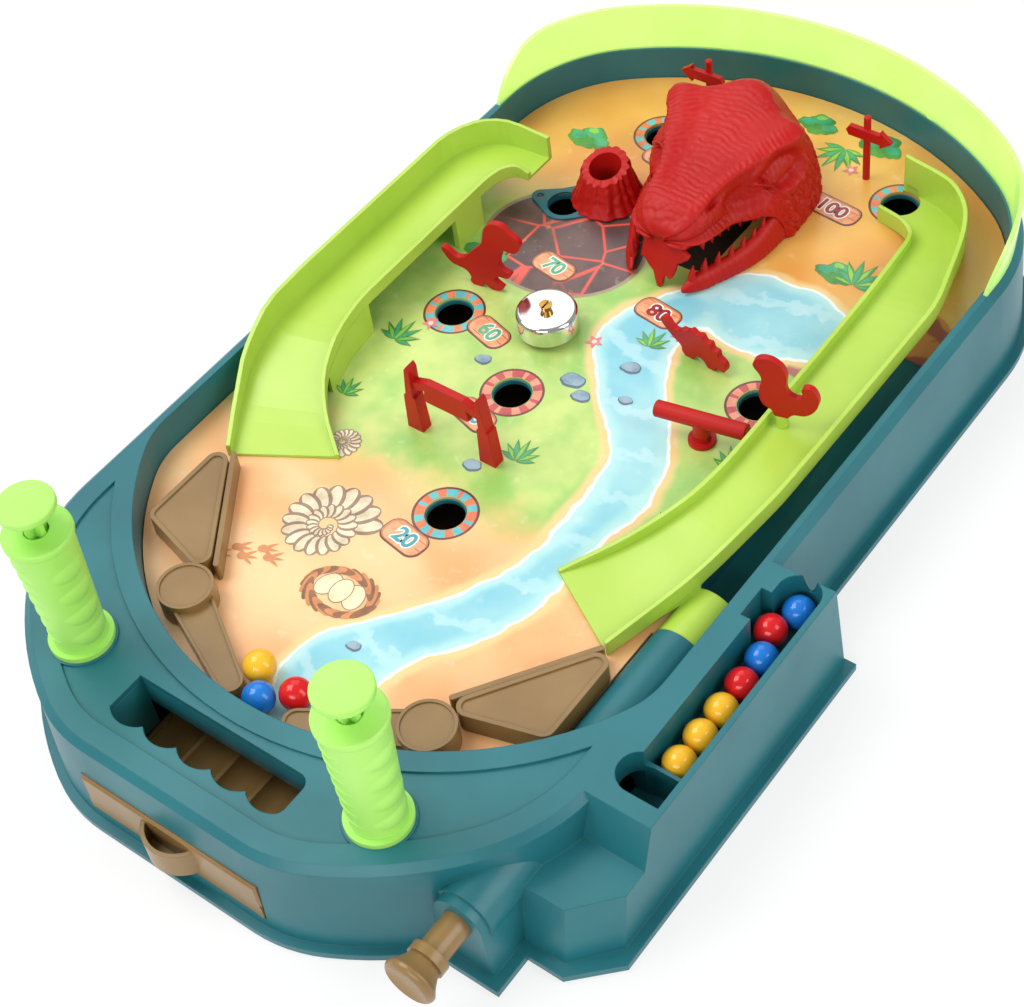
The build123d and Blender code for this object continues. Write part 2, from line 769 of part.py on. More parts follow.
def make_right_ramp():
    f = ramp_floor
    w = right_ramp_wall
    lip = ramp_lip
    side = deck_half
    inner = side - 37.0
    stations = [
        (side - 73.4, -61.0, side - 33.0, -84.5, ramp_foot, 1.0, 6.0),
        (side - 61.5, -47.0, side - 26.0, -66.0, f * 0.26, lip * 0.8, w),
        (side - 49.5, -30.0, side - 17.5, -42.0, f * 0.58, lip, w),
        (side - 40.5, -9.0, side - 11.5, -15.0, f * 0.90, lip, w),
        (side - 38.0, 12.0, side - 9.0, 8.0, f, lip, w),
        (side - 39.0, 112.0, side - 8.5, 117.0, f, lip, w),
        (side - 42.5, 146.0, side - 15.5, 150.0, f * 0.78, lip, w + 2),
        (side - 48.5, 170.0, side - 28.5, 186.0, f * 0.33, lip, ramp_end_wall * 0.8),
        (side - 57.0, 177.5, side - 45.0, 200.5, f * 0.12, lip * 1.4, ramp_end_wall),
        (side - 70.0, 181.0, side - 70.0, 206.5, ramp_foot, lip * 1.4, ramp_end_wall),
    ]
    ramp = channel(stations, 6)
    ramp -= post(hole_places[3][0], hole_places[3][1], hole_radius + hole_print_margin, board_top - 1, board_top + lip)
    under = ramp_floor - ramp_sheet + 1
    half = ramp_leg_length / 2
    ramp += block(inner, inner + ramp_leg_thickness, ramp_leg_y - half, ramp_leg_y + half, board_top, board_top + under)
    arch = rod_y(lane_x, lane_z, lane_tube_radius - board_gap, lane_tube_end, lane_arch_end)
    arch -= rod_y(lane_x, lane_z, lane_bore + 0.6, lane_tube_end - 1, lane_arch_end + 1)
    arch &= block(lane_x - 40, deck_half - board_gap, lane_tube_end, lane_arch_end, board_top, rim_top)
    ramp += skirt([(side - 49.5, -30.0, f * 0.58), (side - 40.5, -9.0, f * 0.9 - 0.5), (side - 38.0, 12.0, under)], 0, ramp_sheet)
    ramp += skirt([(side - 26.0, lane_tube_end, f * 0.26), (side - 17.5, lane_arch_end, f * 0.58)], 4.0, -ramp_sheet)
    figure_peg = post(sauropod_x, sauropod_y, 2.6, board_top + f - 1, board_top + f + figure_peg_height)
    return ramp + arch + figure_peg


def right_ramp_stretch(start, end):
    # the right ramp is moulded in three lengths that butt together
    return make_right_ramp() & block(-deck_half, deck_half, start, end, board_top - 1, rim_top + ramp_floor + 40)


def make_flipper():
    # left flipper: cap, tapering arm and the shaft through the deck
    low = board_top + flipper_lift
    arm_top = low + flipper_arm_height
    cap_top = low + flipper_cap_height
    root = flipper_root_radius
    tip = flipper_tip_radius
    outline = tapered_bar(0, 0, root, flipper_reach, 0, tip)
    sunk = tapered_bar(0, 0, root - flipper_border, flipper_reach, 0, tip - flipper_border)
    arm = extrude(lift(outline, low), flipper_arm_height)
    arm -= extrude(lift(sunk, arm_top - flipper_recess), flipper_recess + 1)
    cap = post(0, 0, flipper_cap_radius, low, cap_top)
    cap -= post(0, 0, flipper_cap_radius - flipper_border, cap_top - flipper_recess, cap_top + 1)
    shaft = post(0, 0, shaft_radius, drum_bottom - 2, low + 1)
    return Pos(-flipper_x, flipper_y, 0) * Rot(0, 0, -flipper_rest_angle) * (arm + cap + shaft)


def foot_direction():
    # angle from the left flipper's axis to the left handle
    return math.degrees(math.atan2(handle_y - flipper_y, flipper_x - handle_x))


def make_drum():
    # left drum, with the twisted groove that the button's peg runs in
    rate = flipper_swing / button_stroke
    twist = rate * drum_height
    peg_z = button_foot_top - button_foot_height / 2
    half = drum_groove / 2
    inside = drum_radius - drum_groove_depth
    edge = math.sqrt(drum_radius ** 2 - half ** 2)
    turn = math.degrees(math.asin(half / drum_radius))
    lines = Polyline((edge, half), (inside, half), (inside, -half), (edge, -half))
    round_part = arc(0, 0, drum_radius, turn, 360 - turn)
    section = make_face([lines, round_part]).face()
    start = foot_direction() - rate * (peg_z - drum_bottom)
    drum = Solid.extrude_linear_with_rotation(section, (0, 0, 0), (0, 0, drum_height), twist)
    drum = Part() + drum
    drum -= post(0, 0, shaft_radius, -1, drum_height + 1)
    return Pos(-flipper_x, flipper_y, drum_bottom) * Rot(0, 0, start) * drum


def make_handle(side):
    low = rim_top
    top = low + handle_height
    grip = Pos(0, 0, low + handle_height / 2) * Cone(handle_low_radius, handle_radius, handle_height)
    grip += post(0, 0, handle_foot_radius, low, low + handle_foot_height)
    rim = post(0, 0, handle_cap_radius, top - handle_cap_thickness - 0.6, top)
    grip += fillet(rim.edges().group_by(Axis.Z)[-1], 1.2)
    for number in range(4):
        z = low + 11 + finger_bulge_pitch * number
        size = handle_low_radius + (handle_radius - handle_low_radius) * (z - low) / handle_height
        grip += Pos(size + finger_bulge_reach - finger_bulge_radius, 0, z) * Sphere(finger_bulge_radius)
    grip += post(0, 0, handle_spigot_radius, apron_under - panel_depth, low)
    floor = low + handle_foot_height
    grip -= post(0, 0, handle_bore, floor, top - handle_cap_thickness)
    hole = stem_width / 2 + stem_clearance
    grip -= post(0, 0, hole, apron_under - panel_depth - 1, top + 1)
    return Pos(side * handle_x, handle_y, 0) * grip


def button_levels():
    low = rim_top
    grip_top = low + handle_height
    disc_low = grip_top + button_stroke + button_spare
    collar_top = grip_top - handle_cap_thickness - spring_seat_gap
    return low + handle_foot_height, collar_top, disc_low


def make_button():
    # left button: disc, cross-shaped stem, spring collar, foot and peg
    floor, collar_top, disc_low = button_levels()
    disc = post(0, 0, button_radius, disc_low, disc_low + button_thickness)
    disc = fillet(disc.edges().group_by(Axis.Z)[-1], 0.8)
    foot_low = button_foot_top - button_foot_height
    half = stem_width / 2
    web = stem_web / 2
    stem = block(-half, half, -web, web, foot_low, disc_low) + block(-web, web, -half, half, foot_low, disc_low)
    collar = post(0, 0, stem_collar_radius, collar_top - stem_collar_thickness, collar_top)
    span = math.hypot(handle_x - flipper_x, handle_y - flipper_y)
    end = span - drum_radius - 1.5
    arm = block(0, end, -button_foot_width / 2, button_foot_width / 2, foot_low, button_foot_top)
    peg_end = span - drum_radius + drum_groove_depth - 0.4
    peg_z = (foot_low + button_foot_top) / 2
    peg = Pos((end - 1 + peg_end) / 2, 0, peg_z) * Rot(0, 90, 0) * Cylinder(button_peg_radius, peg_end - end + 1)
    foot = Rot(0, 0, foot_direction() + 180) * (arm + peg)
    return Pos(-handle_x, handle_y, 0) * (disc + stem + collar + foot)


def coil(radius, wire, turns, length, ends):
    # compression spring along Z as one tube with a closed ring of wire at each end
    inner = length - wire - 2 * ends
    path = Helix(pitch=inner / turns, height=inner, radius=radius)
    start = path @ 0
    profile = Plane(origin=start, z_dir=path % 0) * RegularPolygon(wire / 2, 6)
    wound = sweep(profile, path=path, is_frenet=True)
    return Pos(0, 0, ends + wire / 2) * wound


def make_button_spring(side):
    floor, collar_top, disc_low = button_levels()
    length = collar_top - stem_collar_thickness - floor
    spring = coil(button_spring_radius, button_spring_wire, button_spring_turns, length, spring_seat_gap)
    return Pos(side * handle_x, handle_y, floor) * spring


def make_plunger():
    # profile along the plunger's axis, turned about it
    head_back = plunger_tip_y - plunger_head_length
    rod = plunger_rod_radius
    head = lane_bore - plunger_head_gap
    neck = plunger_collar_y - 4
    points = [(0, plunger_tip_y), (head - 1, plunger_tip_y), (head, plunger_tip_y - 1), (head, head_back), (rod, head_back)]
    points += [(rod, plunger_collar_y), (plunger_collar_radius, plunger_collar_y), (plunger_collar_radius, neck)]
    outline = [Polyline(*points)]
    flare = (plunger_collar_radius + 1.2, neck - 5)
    outline.append(Line(points[-1], (rod + 0.6, neck)))
    outline.append(ThreePointArc((rod + 0.6, neck), flare, (plunger_knob_radius, plunger_knob_end + 3)))
    outline.append(ThreePointArc((plunger_knob_radius, plunger_knob_end + 3), (plunger_knob_radius - 0.6, plunger_knob_end + 0.9), (plunger_knob_radius - 2, plunger_knob_end)))
    outline.append(ThreePointArc((plunger_knob_radius - 2, plunger_knob_end), (plunger_knob_radius * 0.5, plunger_knob_end + 1.2), (2, plunger_knob_end + 1.6)))
    outline.append(Polyline((2, plunger_knob_end + 1.6), (0, plunger_knob_end + 1.6), (0, plunger_tip_y)))
    turned = revolve(make_face(outline), Axis.Y)
    return Pos(lane_x, 0, lane_z) * turned


def make_plunger_spring():
    front = housing_front + housing_wall
    back = plunger_tip_y - plunger_head_length
    spring = coil(plunger_spring_radius, plunger_spring_wire, plunger_spring_turns, back - front, spring_seat_gap)
    return Pos(lane_x, front, lane_z) * Rot(-90, 0, 0) * spring


def make_sling():
    # left slingshot block with a sunk top
    shape = plan([(-x, y) for x, y in sling_corners])
    shape = fillet(shape.vertices(), sling_round)
    top = board_top + sling_height
    sling = extrude(lift(shape, board_top), sling_height)
    return sling - extrude(lift(offset(shape, -sling_border), top - sling_recess), sling_recess + 1)


def make_guide():
    # left straight guide
    ax, ay = guide_start
    bx, by = guide_end
    length = math.hypot(bx - ax, by - ay)
    turn = math.degrees(math.atan2(by - ay, ax - bx))
    strip = lift(SlotCenterToCenter(length - guide_thickness, guide_thickness), board_top)
    return Pos(-(ax + bx) / 2, (ay + by) / 2, 0) * Rot(0, 0, turn) * extrude(strip, guide_height)


def make_drawer():
    half = drawer_half_width
    back = drawer_front + drawer_length
    pitch = 2 * (half - drawer_wall) / drawer_channels
    bed = block(-half, half, drawer_front, back, drawer_bottom, drawer_bottom + 6)
    for number in range(drawer_channels):
        x = -half + drawer_wall + pitch * (number + 0.5)
        groove = drawer_bottom + drawer_wall + drawer_groove_radius
        bed -= rod_y(x, groove, drawer_groove_radius, drawer_front + drawer_wall, back + 1)
    side = block(half - drawer_wall, half, drawer_front, back, drawer_bottom, chute_low - chute_thickness + 4)
    face = block(-half, half, drawer_front, drawer_front + drawer_wall + 0.6, drawer_bottom, drawer_top)
    face = chamfer(face.faces().sort_by(Axis.Y)[0].edges(), 0.9)
    tall = (drawer_bottom + drawer_top) / 2
    radius = (pull_half_width ** 2 + pull_reach ** 2) / (2 * pull_reach)
    centre = drawer_front + radius - pull_reach
    pull_top = tall + 7
    front_half = block(-half, half, drawer_front - 40, drawer_front + 0.3, drawer_bottom, drawer_top)
    pull = post(0, centre, radius, tall - 6, pull_top) - post(0, centre, radius - 1.8, tall - 4.2, pull_top + 1)
    return bed + side + flip(side) + face + (pull & front_half)


def make_bell():
    top = board_top + bell_top
    outer = bell_radius
    edges = [Polyline((bell_pin_radius, top), (outer - 2, top))]
    edges.append(ThreePointArc((outer - 2, top), (outer - 0.6, top - 0.6), (outer, top - 2)))
    edges.append(Polyline((outer, top - 2), (outer, top - bell_skirt), (outer - bell_sheet, top - bell_skirt), (outer - bell_sheet, top - bell_sheet - 0.6), (outer - bell_sheet - 0.6, top - bell_sheet), (bell_pin_radius, top - bell_sheet), (bell_pin_radius, top)))
    face = Plane.XZ * make_face(edges)
    return Pos(bell_x, bell_y, 0) * revolve(face, Axis.Z)


def make_bell_post():
    low = board_top
    top = board_top + bell_top - bell_sheet
    stand = post(bell_x, bell_y, bell_post_radius, low, top) + post(bell_x, bell_y, bell_post_radius + 3, low, low + 2)
    return stand - post(bell_x, bell_y, bell_pin_radius, top - 6, top + 1)


def make_bell_pin():
    top = board_top + bell_top
    pin = post(bell_x, bell_y, bell_pin_radius, top - 6, top)
    pin += extrude(lift(Pos(bell_x, bell_y) * Circle(bell_pin_radius), top), bell_pin_rise, taper=-14)
    return pin - block(bell_x - 0.4, bell_x + 0.4, bell_y - 5, bell_y + 5, top + 0.4, top + bell_pin_rise + 1)


def head_section(share, inset):
    # arched cross-section of the head at a share of its length from the snout
    y = head_front + head_length * share
    grow = math.sin(math.pi * min(1.0, 0.20 + share * 0.62) / 2)
    half = jaw_half_width(share)
    tall = head_height * (0.50 + 0.50 * math.sin(math.pi / 2 * min(1.0, share / 0.75)))
    if share > 0.75:
        fall = (share - 0.75) / 0.25
        half *= 1 - 0.22 * fall ** 2
        tall *= 1 - 0.24 * fall ** 2
    half -= inset
    tall -= inset
    low = board_top - (1 if inset else 0)
    top = board_top + tall
    side = board_top + tall * 0.45
    brow = board_top + tall * (0.84 + 0.05 * grow)
    points = [(head_x - half, low), (head_x - half * 0.98, side), (head_x - half * 0.66, brow), (head_x, top)]
    points += [(head_x + half * 0.66, brow), (head_x + half * 0.98, side), (head_x + half, low)]
    edges = [Spline(*points), Line(points[-1], points[0])]
    return Plane.XZ.offset(-y) * make_face(edges)


def jaw_half_width(share):
    return head_half_width * (0.46 + 0.54 * math.sin(math.pi / 2 * min(1.0, share / 0.66)) ** 1.6)


def make_head():
    shares = [0.0, 0.12, 0.28, 0.45, 0.62, 0.78, 0.92, 1.0]
    head = loft([head_section(s, 0) for s in shares])
    inner = loft([head_section(s, head_shell) for s in (0.04, 0.14, 0.28, 0.45, 0.62, 0.78, 0.92, 0.97)])
    head -= inner
    jaw = board_top + jaw_height
    gap = jaw + mouth_height
    front = head_front - 5
    corner = head_front + mouth_back
    wedge = [(front, jaw), (corner, jaw + 5), (corner + 3, jaw + 8), (corner - 6, jaw + 9), (head_front + 14, gap), (front, gap + 2)]
    head -= side_plate(wedge, head_x - 100, head_x + 100)
    clear = jaw_half_width(0) - 2.8
    head -= block(head_x - clear, head_x + clear, front, head_front + 20, board_top - 1, jaw + 1)
    for side in (-1, 1):
        for number in range(6):
            share = 0.06 + 0.065 * number
            x = head_x + side * (jaw_half_width(share) - head_shell * 0.9)
            y = head_front + head_length * share
            run = (y - front) / (corner - front)
            root = jaw + 5 * run - 0.6
            head += Pos(x, y, root + tooth_height / 2) * Cone(tooth_radius, 0.3, tooth_height)
            upper = gap + 2 - 2 * run + 0.4
            if y < head_front + 14:
                head += Pos(x, y, upper - tooth_height / 2) * Cone(0.3, tooth_radius, tooth_height)
        eye = Pos(head_x + side * head_half_width * 0.84, head_front + head_length * 0.64, board_top + head_height * 0.66)
        head += eye * Sphere(7.0)
        head -= eye * Pos(side * 5.5, -1.5, -1.0) * Sphere(4.4)
        head -= rod_y(head_x + side * 7.5, board_top + head_height * 0.42, 1.7, head_front - 1, head_front + 2)
    keep = block(head_x - 100, head_x + 100, head_front - 20, head_front + head_length + 20, board_top, board_top + 100)
    return head & keep


def flute_ring(radius, z):
    # fluted outline of the volcano
    points = []
    for number in range(2 * volcano_flutes):
        turn = math.pi * number / volcano_flutes
        size = radius if number % 2 else radius * 0.91
        points.append((volcano_x + size * math.cos(turn), volcano_y + size * math.sin(turn)))
    return lift(plan(points), z)


def make_volcano():
    low = board_top + volcano_base_thickness
    top = board_top + volcano_height
    cone = loft([flute_ring(volcano_foot, low), flute_ring(volcano_mouth, top)], ruled=True)
    cone -= post(volcano_x, volcano_y, volcano_bore, low - 1, top + 1)
    hole_x, hole_y = hole_places[5]
    cone -= post(hole_x, hole_y, hole_radius + hole_print_margin, low - 1, top + 1)
    reach = volcano_foot + 1
    slope = (volcano_height - volcano_front_height) / (2 * volcano_mouth)
    low_edge = board_top + volcano_front_height - slope * (reach - volcano_mouth)
    high_edge = top + slope * (reach - volcano_mouth)
    shape = [(volcano_y - reach, low_edge), (volcano_y + reach, high_edge), (volcano_y + reach, high_edge + 9), (volcano_y - reach, high_edge + 9)]
    return cone - side_plate(shape, volcano_x - reach, volcano_x + reach)


def make_volcano_base():
    hole_x, hole_y = hole_places[5]
    ring = hole_radius + 2.6
    shape = tapered_bar(volcano_x, volcano_y, volcano_foot * 0.7, hole_x, hole_y, ring)
    shape += tapered_bar(hole_x, hole_y, ring, hole_x - 13.5, hole_y - 1, 4.0)
    base = extrude(lift(shape, board_top), volcano_base_thickness)
    base -= post(hole_x, hole_y, hole_radius, board_top - 1, board_top + 5)
    base -= post(hole_x - 13.5, hole_y - 1, 1.6, board_top - 1, board_top + 5)
    return base


def standee(points, x, y, z, turn):
    # flat figure with a soft outline, standing on its feet
    face = Plane.XZ * make_face(Spline(*points, periodic=True))
    flat = extrude(face, figure_thickness / 2, both=True)
    flat &= block(-60, 60, -figure_thickness, figure_thickness, 0, 80)
    return Pos(x, y, z) * Rot(0, 0, turn) * flat


def make_trex():
    points = [(-7, 0), (-2.6, 0), (-1.2, 2.4), (1.4, 1), (6, 0.6), (8.6, 2.6), (6.2, 4.6), (4.6, 7.5), (8, 9.6)]
    points += [(12.4, 10.4), (13.6, 12.6), (10, 14.2), (8.4, 17.5), (9.6, 22.5), (11.2, 26.4), (16.4, 26.6), (19.8, 29.6)]
    points += [(19.6, 35.2), (15.8, 37.6), (12.6, 40.6), (7.4, 40.8), (3.2, 37), (1.6, 31), (-0.6, 25.5), (-5.4, 20.5)]
    points += [(-9.6, 15.6), (-14.6, 14.2), (-19, 17.2), (-21.4, 17.8), (-20, 13.4), (-15.2, 9.2), (-9.6, 7.6), (-7.8, 4)]
    return standee(points, *trex_place, board_top, 8)


def make_hatchling():
    points = [(-6, 0), (-2, 0), (-1, 3), (1, 3), (2, 0), (6, 0), (5.6, 4), (7, 7.5), (10, 6.8), (10.6, 9), (7.4, 11.6), (6.4, 15.6)]
    points += [(9.8, 18), (9.8, 21.4), (6, 24), (1, 22.8), (-1, 18), (-3.4, 13.6), (-7.4, 14), (-10, 17.2), (-10.8, 13.8), (-7.4, 8), (-6, 4)]
    return standee(points, *hatchling_place, board_top, 0)


def make_stegosaur():
    points = [(-7.4, 0), (-3.6, 0), (-2, 2.6), (3, 2.6), (5, 0), (8.6, 0), (10, 2.6), (13.5, 2.2), (14.8, 4.8), (13.2, 8.2)]
    points += [(11, 9.6), (10.4, 12.2), (7.8, 12.4), (6.6, 15), (3.8, 14.6), (2, 17), (-1, 16), (-3.4, 17.2), (-6, 15.2)]
    points += [(-9, 14.6), (-11, 12.6), (-15, 13.2), (-18.5, 16.2), (-20.4, 15.4), (-18, 11), (-13.5, 7.4), (-9.6, 4.6)]
    return standee(points, *stegosaur_place, board_top, -6)


def make_sauropod():
    points = [(-2.4, 0), (2.8, 0), (5, 2.5), (9, 3.2), (13, 6), (15.5, 11), (15, 16), (11.5, 19.5), (8.6, 18), (9.4, 14.5), (8, 12.5)]
    points += [(3.5, 13.5), (2, 17.5), (2.4, 22.5), (0.5, 28), (-4, 31), (-9, 30.5), (-11.5, 27), (-10, 23.8), (-8.2, 20.5)]
    points += [(-8.8, 15), (-9, 9), (-6.5, 4.5), (-3.6, 2.5)]
    return standee(points, sauropod_x, sauropod_y, board_top + ramp_floor + figure_peg_height, 14)


def make_gate():
    middle = (gate_left + gate_right) / 2
    half = (gate_right - gate_left) / 2
    posts = []
    for side in (-1, 1):
        x = side * half
        posts += [plan([(x - 4.2, 0), (x + 4.2, 0), (x + 3.0, 20), (x - 3.0, 20)])]
        posts += [plan([(x - 2.0, 20), (x + 2.0, 20), (x + 1.2 - side, gate_height - 2), (x - side, gate_height), (x - 1.2 - side, gate_height - 2)])]
    beam = plan([(-half, 24), (-half * 0.5, 27.5), (half * 0.5, 27.5), (half, 24), (half, 28.5), (half * 0.5, 32), (-half * 0.5, 32), (-half, 28.5)])
    board = plan([(-half * 0.62, 21.5), (-half * 0.55, 20.5), (half * 0.55, 20.5), (half * 0.62, 21.5), (half * 0.55, 28.5), (-half * 0.55, 28.5)])
    face = beam + board
    gate = extrude(Plane.XZ * face, 1.8, both=True)
    for foot in posts:
        gate += extrude(Plane.XZ * foot, 2.8, both=True)
    return Pos(middle, gate_y, board_top) * gate


def make_sign(x, y, side):
    pole = post(0, 0, sign_post_radius, 0, sign_height)
    pole = fillet(pole.edges().group_by(Axis.Z)[-1], 0.8)
    low = sign_height - 11.5
    points = [(-8, low), (-9.5, low + 2.6), (-8, low + 5.2), (8, low + 5.2), (8, low + 7.2), (14, low + 2.6), (8, low - 2), (8, low)]
    board = extrude(Plane.XZ * plan([(side * px, pz) for px, pz in points]), 1.2, both=True)
    return Pos(x, y, board_top) * (pole + Pos(0, -sign_post_radius, 0) * board)


def make_log():
    # spinning log with the hub that turns on the pin
    axis = board_top + log_axis_height
    bar = Pos(0, 0, axis) * Rot(0, 90, 0) * Cylinder(log_radius, log_length)
    bar = chamfer(bar.edges().filter_by(GeomType.CIRCLE), 0.6)
    hub_low = board_top + 4.5
    hub = post(0, 0, log_pin_radius + 1.8, hub_low, axis)
    log = bar + hub
    log -= post(0, 0, log_pin_radius + shaft_clearance, hub_low - 1, axis)
    return Pos(log_x, log_y, 0) * Rot(0, 0, log_angle) * log


def make_log_stand():
    axis = board_top + log_axis_height
    stand = post(0, 0, log_foot_radius, board_top, board_top + 2)
    stand += post(0, 0, log_pin_radius + 1.8, board_top, board_top + 4.5 - spring_seat_gap)
    stand += post(0, 0, log_pin_radius, board_top, axis - spring_seat_gap)
    return Pos(log_x, log_y, 0) * stand


def make_ball(x, y, floor):
    return Pos(x, y, floor + ball_gap + ball_radius) * Sphere(ball_radius)


def tray_places():
    # seven balls in a row, the sixth pushed into the bay of the rim
    pitch = ball_diameter + ball_gap
    places = [(tray_row_x, tray_row_start + pitch * number) for number in range(5)]
    aside = 4.4
    step = math.sqrt(pitch ** 2 - aside ** 2)
    x, y = places[-1]
    places.append((x - aside, y + step))
    places.append((x, y + 2 * step))
    return places


pieces = {}
shell = make_shell()
pieces["case"] = shell - tray_side()
pieces["side_tray"] = shell & tray_side()
pieces["deck_plate"] = make_deck()
pieces["launch_lane"] = make_lane()
pieces["playfield_board"] = make_board()
pieces["base_cover"] = make_cover()
pieces["cover_screws"] = make_screws()
pieces["ball_chute"] = make_chute()
pieces["back_guard"] = make_guard()
pieces["left_ramp"] = make_left_ramp()
pieces["right_ramp"] = right_ramp_stretch(front_end, right_run_start)
pieces["right_ramp_run"] = right_ramp_stretch(right_run_start, right_run_end)
pieces["right_ramp_end"] = right_ramp_stretch(right_run_end, back_end)
pieces["left_flipper"] = make_flipper()
pieces["right_flipper"] = flip(make_flipper())
pieces["left_drum"] = make_drum()
pieces["right_drum"] = flip(make_drum())
pieces["left_button"] = make_button()
pieces["right_button"] = flip(make_button())
pieces["left_handle"] = make_handle(-1)
pieces["right_handle"] = make_handle(1)
pieces["left_button_spring"] = make_button_spring(-1)
pieces["right_button_spring"] = make_button_spring(1)
pieces["left_sling"] = make_sling()
pieces["right_sling"] = flip(make_sling())
pieces["left_guide"] = make_guide()
pieces["right_guide"] = flip(make_guide())
pieces["plunger"] = make_plunger()
pieces["plunger_spring"] = make_plunger_spring()
pieces["drawer"] = make_drawer()
pieces["bell"] = make_bell()
pieces["bell_post"] = make_bell_post()
pieces["bell_pin"] = make_bell_pin()
pieces["dinosaur_head"] = make_head()
pieces["volcano"] = make_volcano()
pieces["volcano_base"] = make_volcano_base()
pieces["trex_figure"] = make_trex()
pieces["hatchling_figure"] = make_hatchling()
pieces["stegosaur_figure"] = make_stegosaur()
pieces["sauropod_figure"] = make_sauropod()
pieces["gate"] = make_gate()
pieces["left_sign"] = make_sign(*left_sign_place, -1)
pieces["right_sign"] = make_sign(*right_sign_place, 1)
pieces["log"] = make_log()
pieces["log_stand"] = make_log_stand()
tray_names = ["tray_ball_1", "tray_ball_2", "tray_ball_3", "tray_ball_4", "tray_ball_5", "tray_ball_6", "tray_ball_7"]
for name, (x, y) in zip(tray_names, tray_places()):
    pieces[name] = make_ball(x, y, tray_floor)
pieces["field_ball_yellow"] = make_ball(*yellow_ball_place, board_top)
pieces["field_ball_blue"] = make_ball(*blue_ball_place, board_top)
pieces["field_ball_red"] = make_ball(*red_ball_place, board_top)

os.makedirs("parts", exist_ok=True)
for name, solid in pieces.items():
    export_step(solid, "parts/" + name + ".step")
    print(name, len(solid.solids()), round(solid.volume, 1))
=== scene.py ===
import bpy
import bmesh
import json
import math
from mathutils import Matrix, Vector, noise


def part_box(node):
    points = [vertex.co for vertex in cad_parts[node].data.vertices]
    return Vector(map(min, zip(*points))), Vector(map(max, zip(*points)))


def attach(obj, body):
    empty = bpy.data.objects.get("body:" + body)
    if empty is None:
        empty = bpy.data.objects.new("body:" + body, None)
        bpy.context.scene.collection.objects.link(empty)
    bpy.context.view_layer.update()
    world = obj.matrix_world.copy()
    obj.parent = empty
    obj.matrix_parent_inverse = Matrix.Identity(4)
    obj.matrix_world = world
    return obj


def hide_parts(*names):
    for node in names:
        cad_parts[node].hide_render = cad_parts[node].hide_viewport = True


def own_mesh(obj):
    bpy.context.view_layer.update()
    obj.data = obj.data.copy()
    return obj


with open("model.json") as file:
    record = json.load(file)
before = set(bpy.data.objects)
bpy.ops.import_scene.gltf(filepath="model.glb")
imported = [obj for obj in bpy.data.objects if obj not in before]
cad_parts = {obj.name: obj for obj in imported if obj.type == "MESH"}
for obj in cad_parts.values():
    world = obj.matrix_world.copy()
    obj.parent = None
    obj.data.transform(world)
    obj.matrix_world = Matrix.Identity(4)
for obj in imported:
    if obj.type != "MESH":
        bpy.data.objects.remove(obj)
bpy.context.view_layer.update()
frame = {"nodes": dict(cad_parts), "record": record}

nodes = frame["nodes"]
mm = 0.001
boardTop = 34.0  # millimetres, where the printed sheet lies
print("frame loaded,", len(nodes), "nodes")


class Wire:
    # a socket in a material, with arithmetic that adds Math nodes
    def __init__(self, tree, socket=None):
        self.tree = tree
        self.socket = socket

    def make(self, kind, settings, sockets, out=0):
        node = self.tree.nodes.new(kind)
        for key, value in settings.items():
            setattr(node, key, value)
        for key, value in sockets.items():
            if isinstance(value, Wire):
                self.tree.links.new(value.socket, node.inputs[key])
            else:
                node.inputs[key].default_value = value
        return Wire(self.tree, node.outputs[out] if len(node.outputs) else None)

    def beside(self, out):
        # another output of the node that this socket belongs to
        return Wire(self.tree, self.socket.node.outputs[out])

    def math(self, operation, first, second=0.0):
        return self.make("ShaderNodeMath", {"operation": operation}, {0: first, 1: second})

    def __add__(self, other):
        return self.math("ADD", self, other)

    def __radd__(self, other):
        return self.math("ADD", other, self)

    def __sub__(self, other):
        return self.math("SUBTRACT", self, other)

    def __rsub__(self, other):
        return self.math("SUBTRACT", other, self)

    def __mul__(self, other):
        return self.math("MULTIPLY", self, other)

    def __rmul__(self, other):
        return self.math("MULTIPLY", other, self)

    def __truediv__(self, other):
        return self.math("DIVIDE", self, other)

    def __pow__(self, other):
        return self.math("POWER", self, other)

    def sine(self):
        return self.math("SINE", self)

    def size(self):
        return self.math("ABSOLUTE", self)

    def atMost(self, limit):
        return self.math("MINIMUM", self, limit)

    def ease(self, low, high):
        # 0 below low, 1 above high, smooth between; the other way round if low is the larger
        span = {"Value": self, "From Min": low, "From Max": high, "To Min": 0.0, "To Max": 1.0}
        return self.make("ShaderNodeMapRange", {"interpolation_type": "SMOOTHSTEP"}, span)

    def cloud(self, scale, detail=2.0, rough=0.5):
        look = {"Vector": self, "Scale": scale, "Detail": detail, "Roughness": rough}
        return self.make("ShaderNodeTexNoise", {}, look)

    def tint(self, first, second):
        # this value blends two colours
        return self.make("ShaderNodeMix", {"data_type": "RGBA"}, {0: self, 6: first, 7: second}, 2)


def rgb(red, green, blue):
    # screen colour 0 to 255, as the linear colour that nodes take
    parts = [c / 255 for c in (red, green, blue)]
    return tuple(c / 12.92 if c <= 0.04045 else ((c + 0.055) / 1.055) ** 2.4 for c in parts) + (1.0,)


def startFinish(name):
    finish = bpy.data.materials.new(name)
    finish.use_nodes = True
    finish.node_tree.nodes.clear()
    wire = Wire(finish.node_tree)
    return finish, wire, wire.make("ShaderNodeTexCoord", {}, {}, "Object")


def endFinish(wire, sockets):
    surface = wire.make("ShaderNodeBsdfPrincipled", {}, sockets)
    wire.make("ShaderNodeOutputMaterial", {}, {"Surface": surface})


def bumped(wire, strength, depth, height, under=None):
    sockets = {"Strength": strength, "Distance": depth, "Height": height}
    if under:
        sockets["Normal"] = under
    return wire.make("ShaderNodeBump", {}, sockets)


